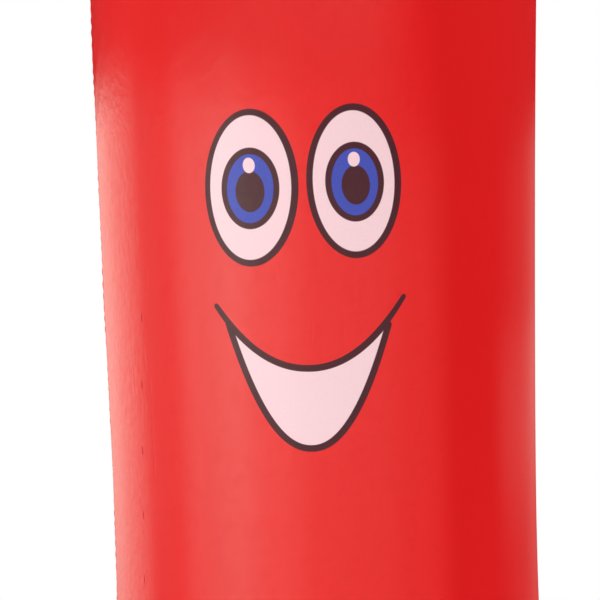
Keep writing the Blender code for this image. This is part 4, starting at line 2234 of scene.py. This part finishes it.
@dataclass
class Studio:
    """The pale floor, the soft light around the dancer and the camera."""

    backdrop: Colour = (1.0, 1.0, 1.0, 1.0)
    tint: Colour = (1.0, 1.0, 0.87, 1.0)
    rings: tuple[LightRing, ...] = (
        # low: bright to the left and in front, dark to the right
        LightRing((-38.0, -12.0), (-4.5, -1.5), (
            (-180.0, 0.05), (-158.0, 0.95), (-138.0, 1.32), (-120.0, 1.38), (-110.0, 1.22),
            (-100.0, 0.62), (-85.0, 0.66), (-65.0, 1.85), (-45.0, 2.50), (-25.0, 1.62),
            (0.0, 0.86), (25.0, 0.70), (50.0, 0.40), (75.0, 0.0), (100.0, 0.0),
            (125.0, 0.10), (152.0, 0.20), (180.0, 0.05),
        )),
        # a pale patch low at the right
        LightRing((-17.5, -13.5), (-11.5, -8.5), (
            (-180.0, 0.0), (96.0, 0.0), (111.0, 0.20), (126.0, 0.15), (150.0, 0.14), (180.0, 0.0),
        )),
        # level: hardly any light, and most of it in front
        LightRing((-4.0, 2.0), (19.0, 25.0), (
            (-180.0, 0.0), (-125.0, 0.02), (-100.0, 0.20), (-60.0, 0.30), (-20.0, 0.60),
            (20.0, 0.65), (60.0, 0.0), (120.0, 0.0), (180.0, 0.0),
        )),
        # high: the open sides of the studio, brightest at the right and behind
        LightRing((18.0, 30.0), (46.0, 58.0), (
            (-180.0, 2.4), (-150.0, 3.0), (-120.0, 3.0), (-60.0, 3.6), (0.0, 0.6),
            (60.0, 2.9), (105.0, 5.6), (145.0, 6.6), (165.0, 3.8), (180.0, 2.4),
        )),
        # the roof
        LightRing((52.0, 64.0), (190.0, 200.0), ((-180.0, 0.6), (180.0, 0.6))),
    )
    floor_radius: float = 3.0
    floor_sides: int = 96
    lamp_spot: tuple[float, float, float] = (-0.4, -0.3, 4.6)
    lamp_size: float = 3.0
    lamp_power: float = 60.0
    camera_spot: tuple[float, float, float] = (0.00112, -0.850, 1.62104)
    camera_right: tuple[float, float, float] = (0.99997, 0.00777, 0.00227)
    camera_up: tuple[float, float, float] = (-0.00358, 0.17298, 0.98492)
    focal_length: float = 92.15
    sensor: float = 36.0
    seen_range: Pair = (0.01, 60.0)

    def make_world(self) -> None:
        """Light the scene from soft rings in the world, before a white backdrop."""
        world = bpy.data.worlds.new("soft_studio")
        world.use_nodes = True
        bpy.context.scene.world = world
        tree = world.node_tree
        right, back, up = Value.read(tree, "ShaderNodeTexCoord", "Generated").parts()
        azimuth = right.math("ARCTAN2", back * -1.0).math("DEGREES")
        elevation = up.math("ARCSINE").math("DEGREES")
        light = reduce(add, [ring.shine(azimuth, elevation) for ring in self.rings])
        seen = Value.read(tree, "ShaderNodeLightPath", "Is Camera Ray")
        ground = tree.nodes["Background"]
        feed(ground.inputs["Color"], seen.blend(self.tint, self.backdrop))
        feed(ground.inputs["Strength"], light * (1.0 - seen) + seen)

    def make_floor(self) -> None:
        """Lay a round pale floor under the dancer."""
        shape = bmesh.new()
        bmesh.ops.create_circle(shape, cap_ends=True, segments=self.floor_sides, radius=self.floor_radius)
        mesh = bpy.data.meshes.new("studio_floor")
        shape.to_mesh(mesh)
        shape.free()
        mesh.materials.append(PaleFloor().material())
        in_scene("studio_floor", mesh)

    def make_lamp(self) -> None:
        """Hang one large soft lamp high above the dancer."""
        light = bpy.data.lights.new("overhead_softbox", "AREA")
        light.shape = "DISK"
        light.size = self.lamp_size
        light.energy = self.lamp_power
        lamp = in_scene("overhead_softbox", light)
        lamp.matrix_world = Matrix.Translation(self.lamp_spot)
        lamp.visible_camera = False

    def make_camera(self) -> None:
        """Set up the camera in front of the printed face."""
        right, up = Vector(self.camera_right).normalized(), Vector(self.camera_up)
        back = right.cross(up).normalized()
        lens = bpy.data.cameras.new("camera")
        lens.sensor_width = self.sensor
        lens.sensor_fit = "HORIZONTAL"
        lens.lens = self.focal_length
        lens.clip_start, lens.clip_end = self.seen_range
        camera = in_scene("camera", lens)
        camera.matrix_world = set_up(self.camera_spot, right, back.cross(right), back)
        bpy.context.scene.camera = camera

    def build(self) -> None:
        """Make the studio."""
        self.make_world()
        self.make_floor()
        self.make_lamp()
        self.make_camera()
        bpy.context.scene.view_settings.view_transform = "Standard"


def main() -> None:
    """Build the studio and every sewn part of the dancer."""
    logging.basicConfig(level=logging.INFO, format="%(name)s: %(message)s")
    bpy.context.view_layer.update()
    Studio().build()

    form = TubeForm()
    thread = SewingThread().material()
    crown_nylon = CoatedNylon("crown_nylon").material()
    sleeve_nylon = CoatedNylon("sleeve_nylon").material()
    fringe_nylon = CoatedNylon("fringe_nylon", roughness=0.58, coat=0.8).material()
    tube_nylon = PrintedNylon("tube_nylon").material()
    lines = (
        SleeveLine(Side.LEFT, root_slope=6.0, tip_slope=61.0, swing=-7.0, form=form),
        SleeveLine(Side.RIGHT, root_slope=16.0, tip_slope=63.0, swing=9.0, form=form),
    )

    BodyTube(form, lines, tube_nylon, thread).build()
    crown = Crown(form, crown_nylon, thread)
    crown.build()
    vent_edge = crown.foot + crown.rise
    Fringe(
        name="crown_streamers",
        place=Matrix.Translation((form.sway(vent_edge), 0.0, vent_edge + SEWN_GAP)),
        radius=crown.vent_radius + STREAMER_GAP,
        finish=fringe_nylon,
        thread=thread,
        ribbons=14,
        ribbon_share=0.68,
        length=0.235,
        uneven=0.16,
        steps=8,
        root_lean=6.0,
        tip_lean=112.0,
        flutter=16.0,
        fall=0.0,
    ).build()
    for line in lines:
        Sleeve(line, sleeve_nylon, thread, fringe_nylon).build()


if __name__ == "__main__":
    main()
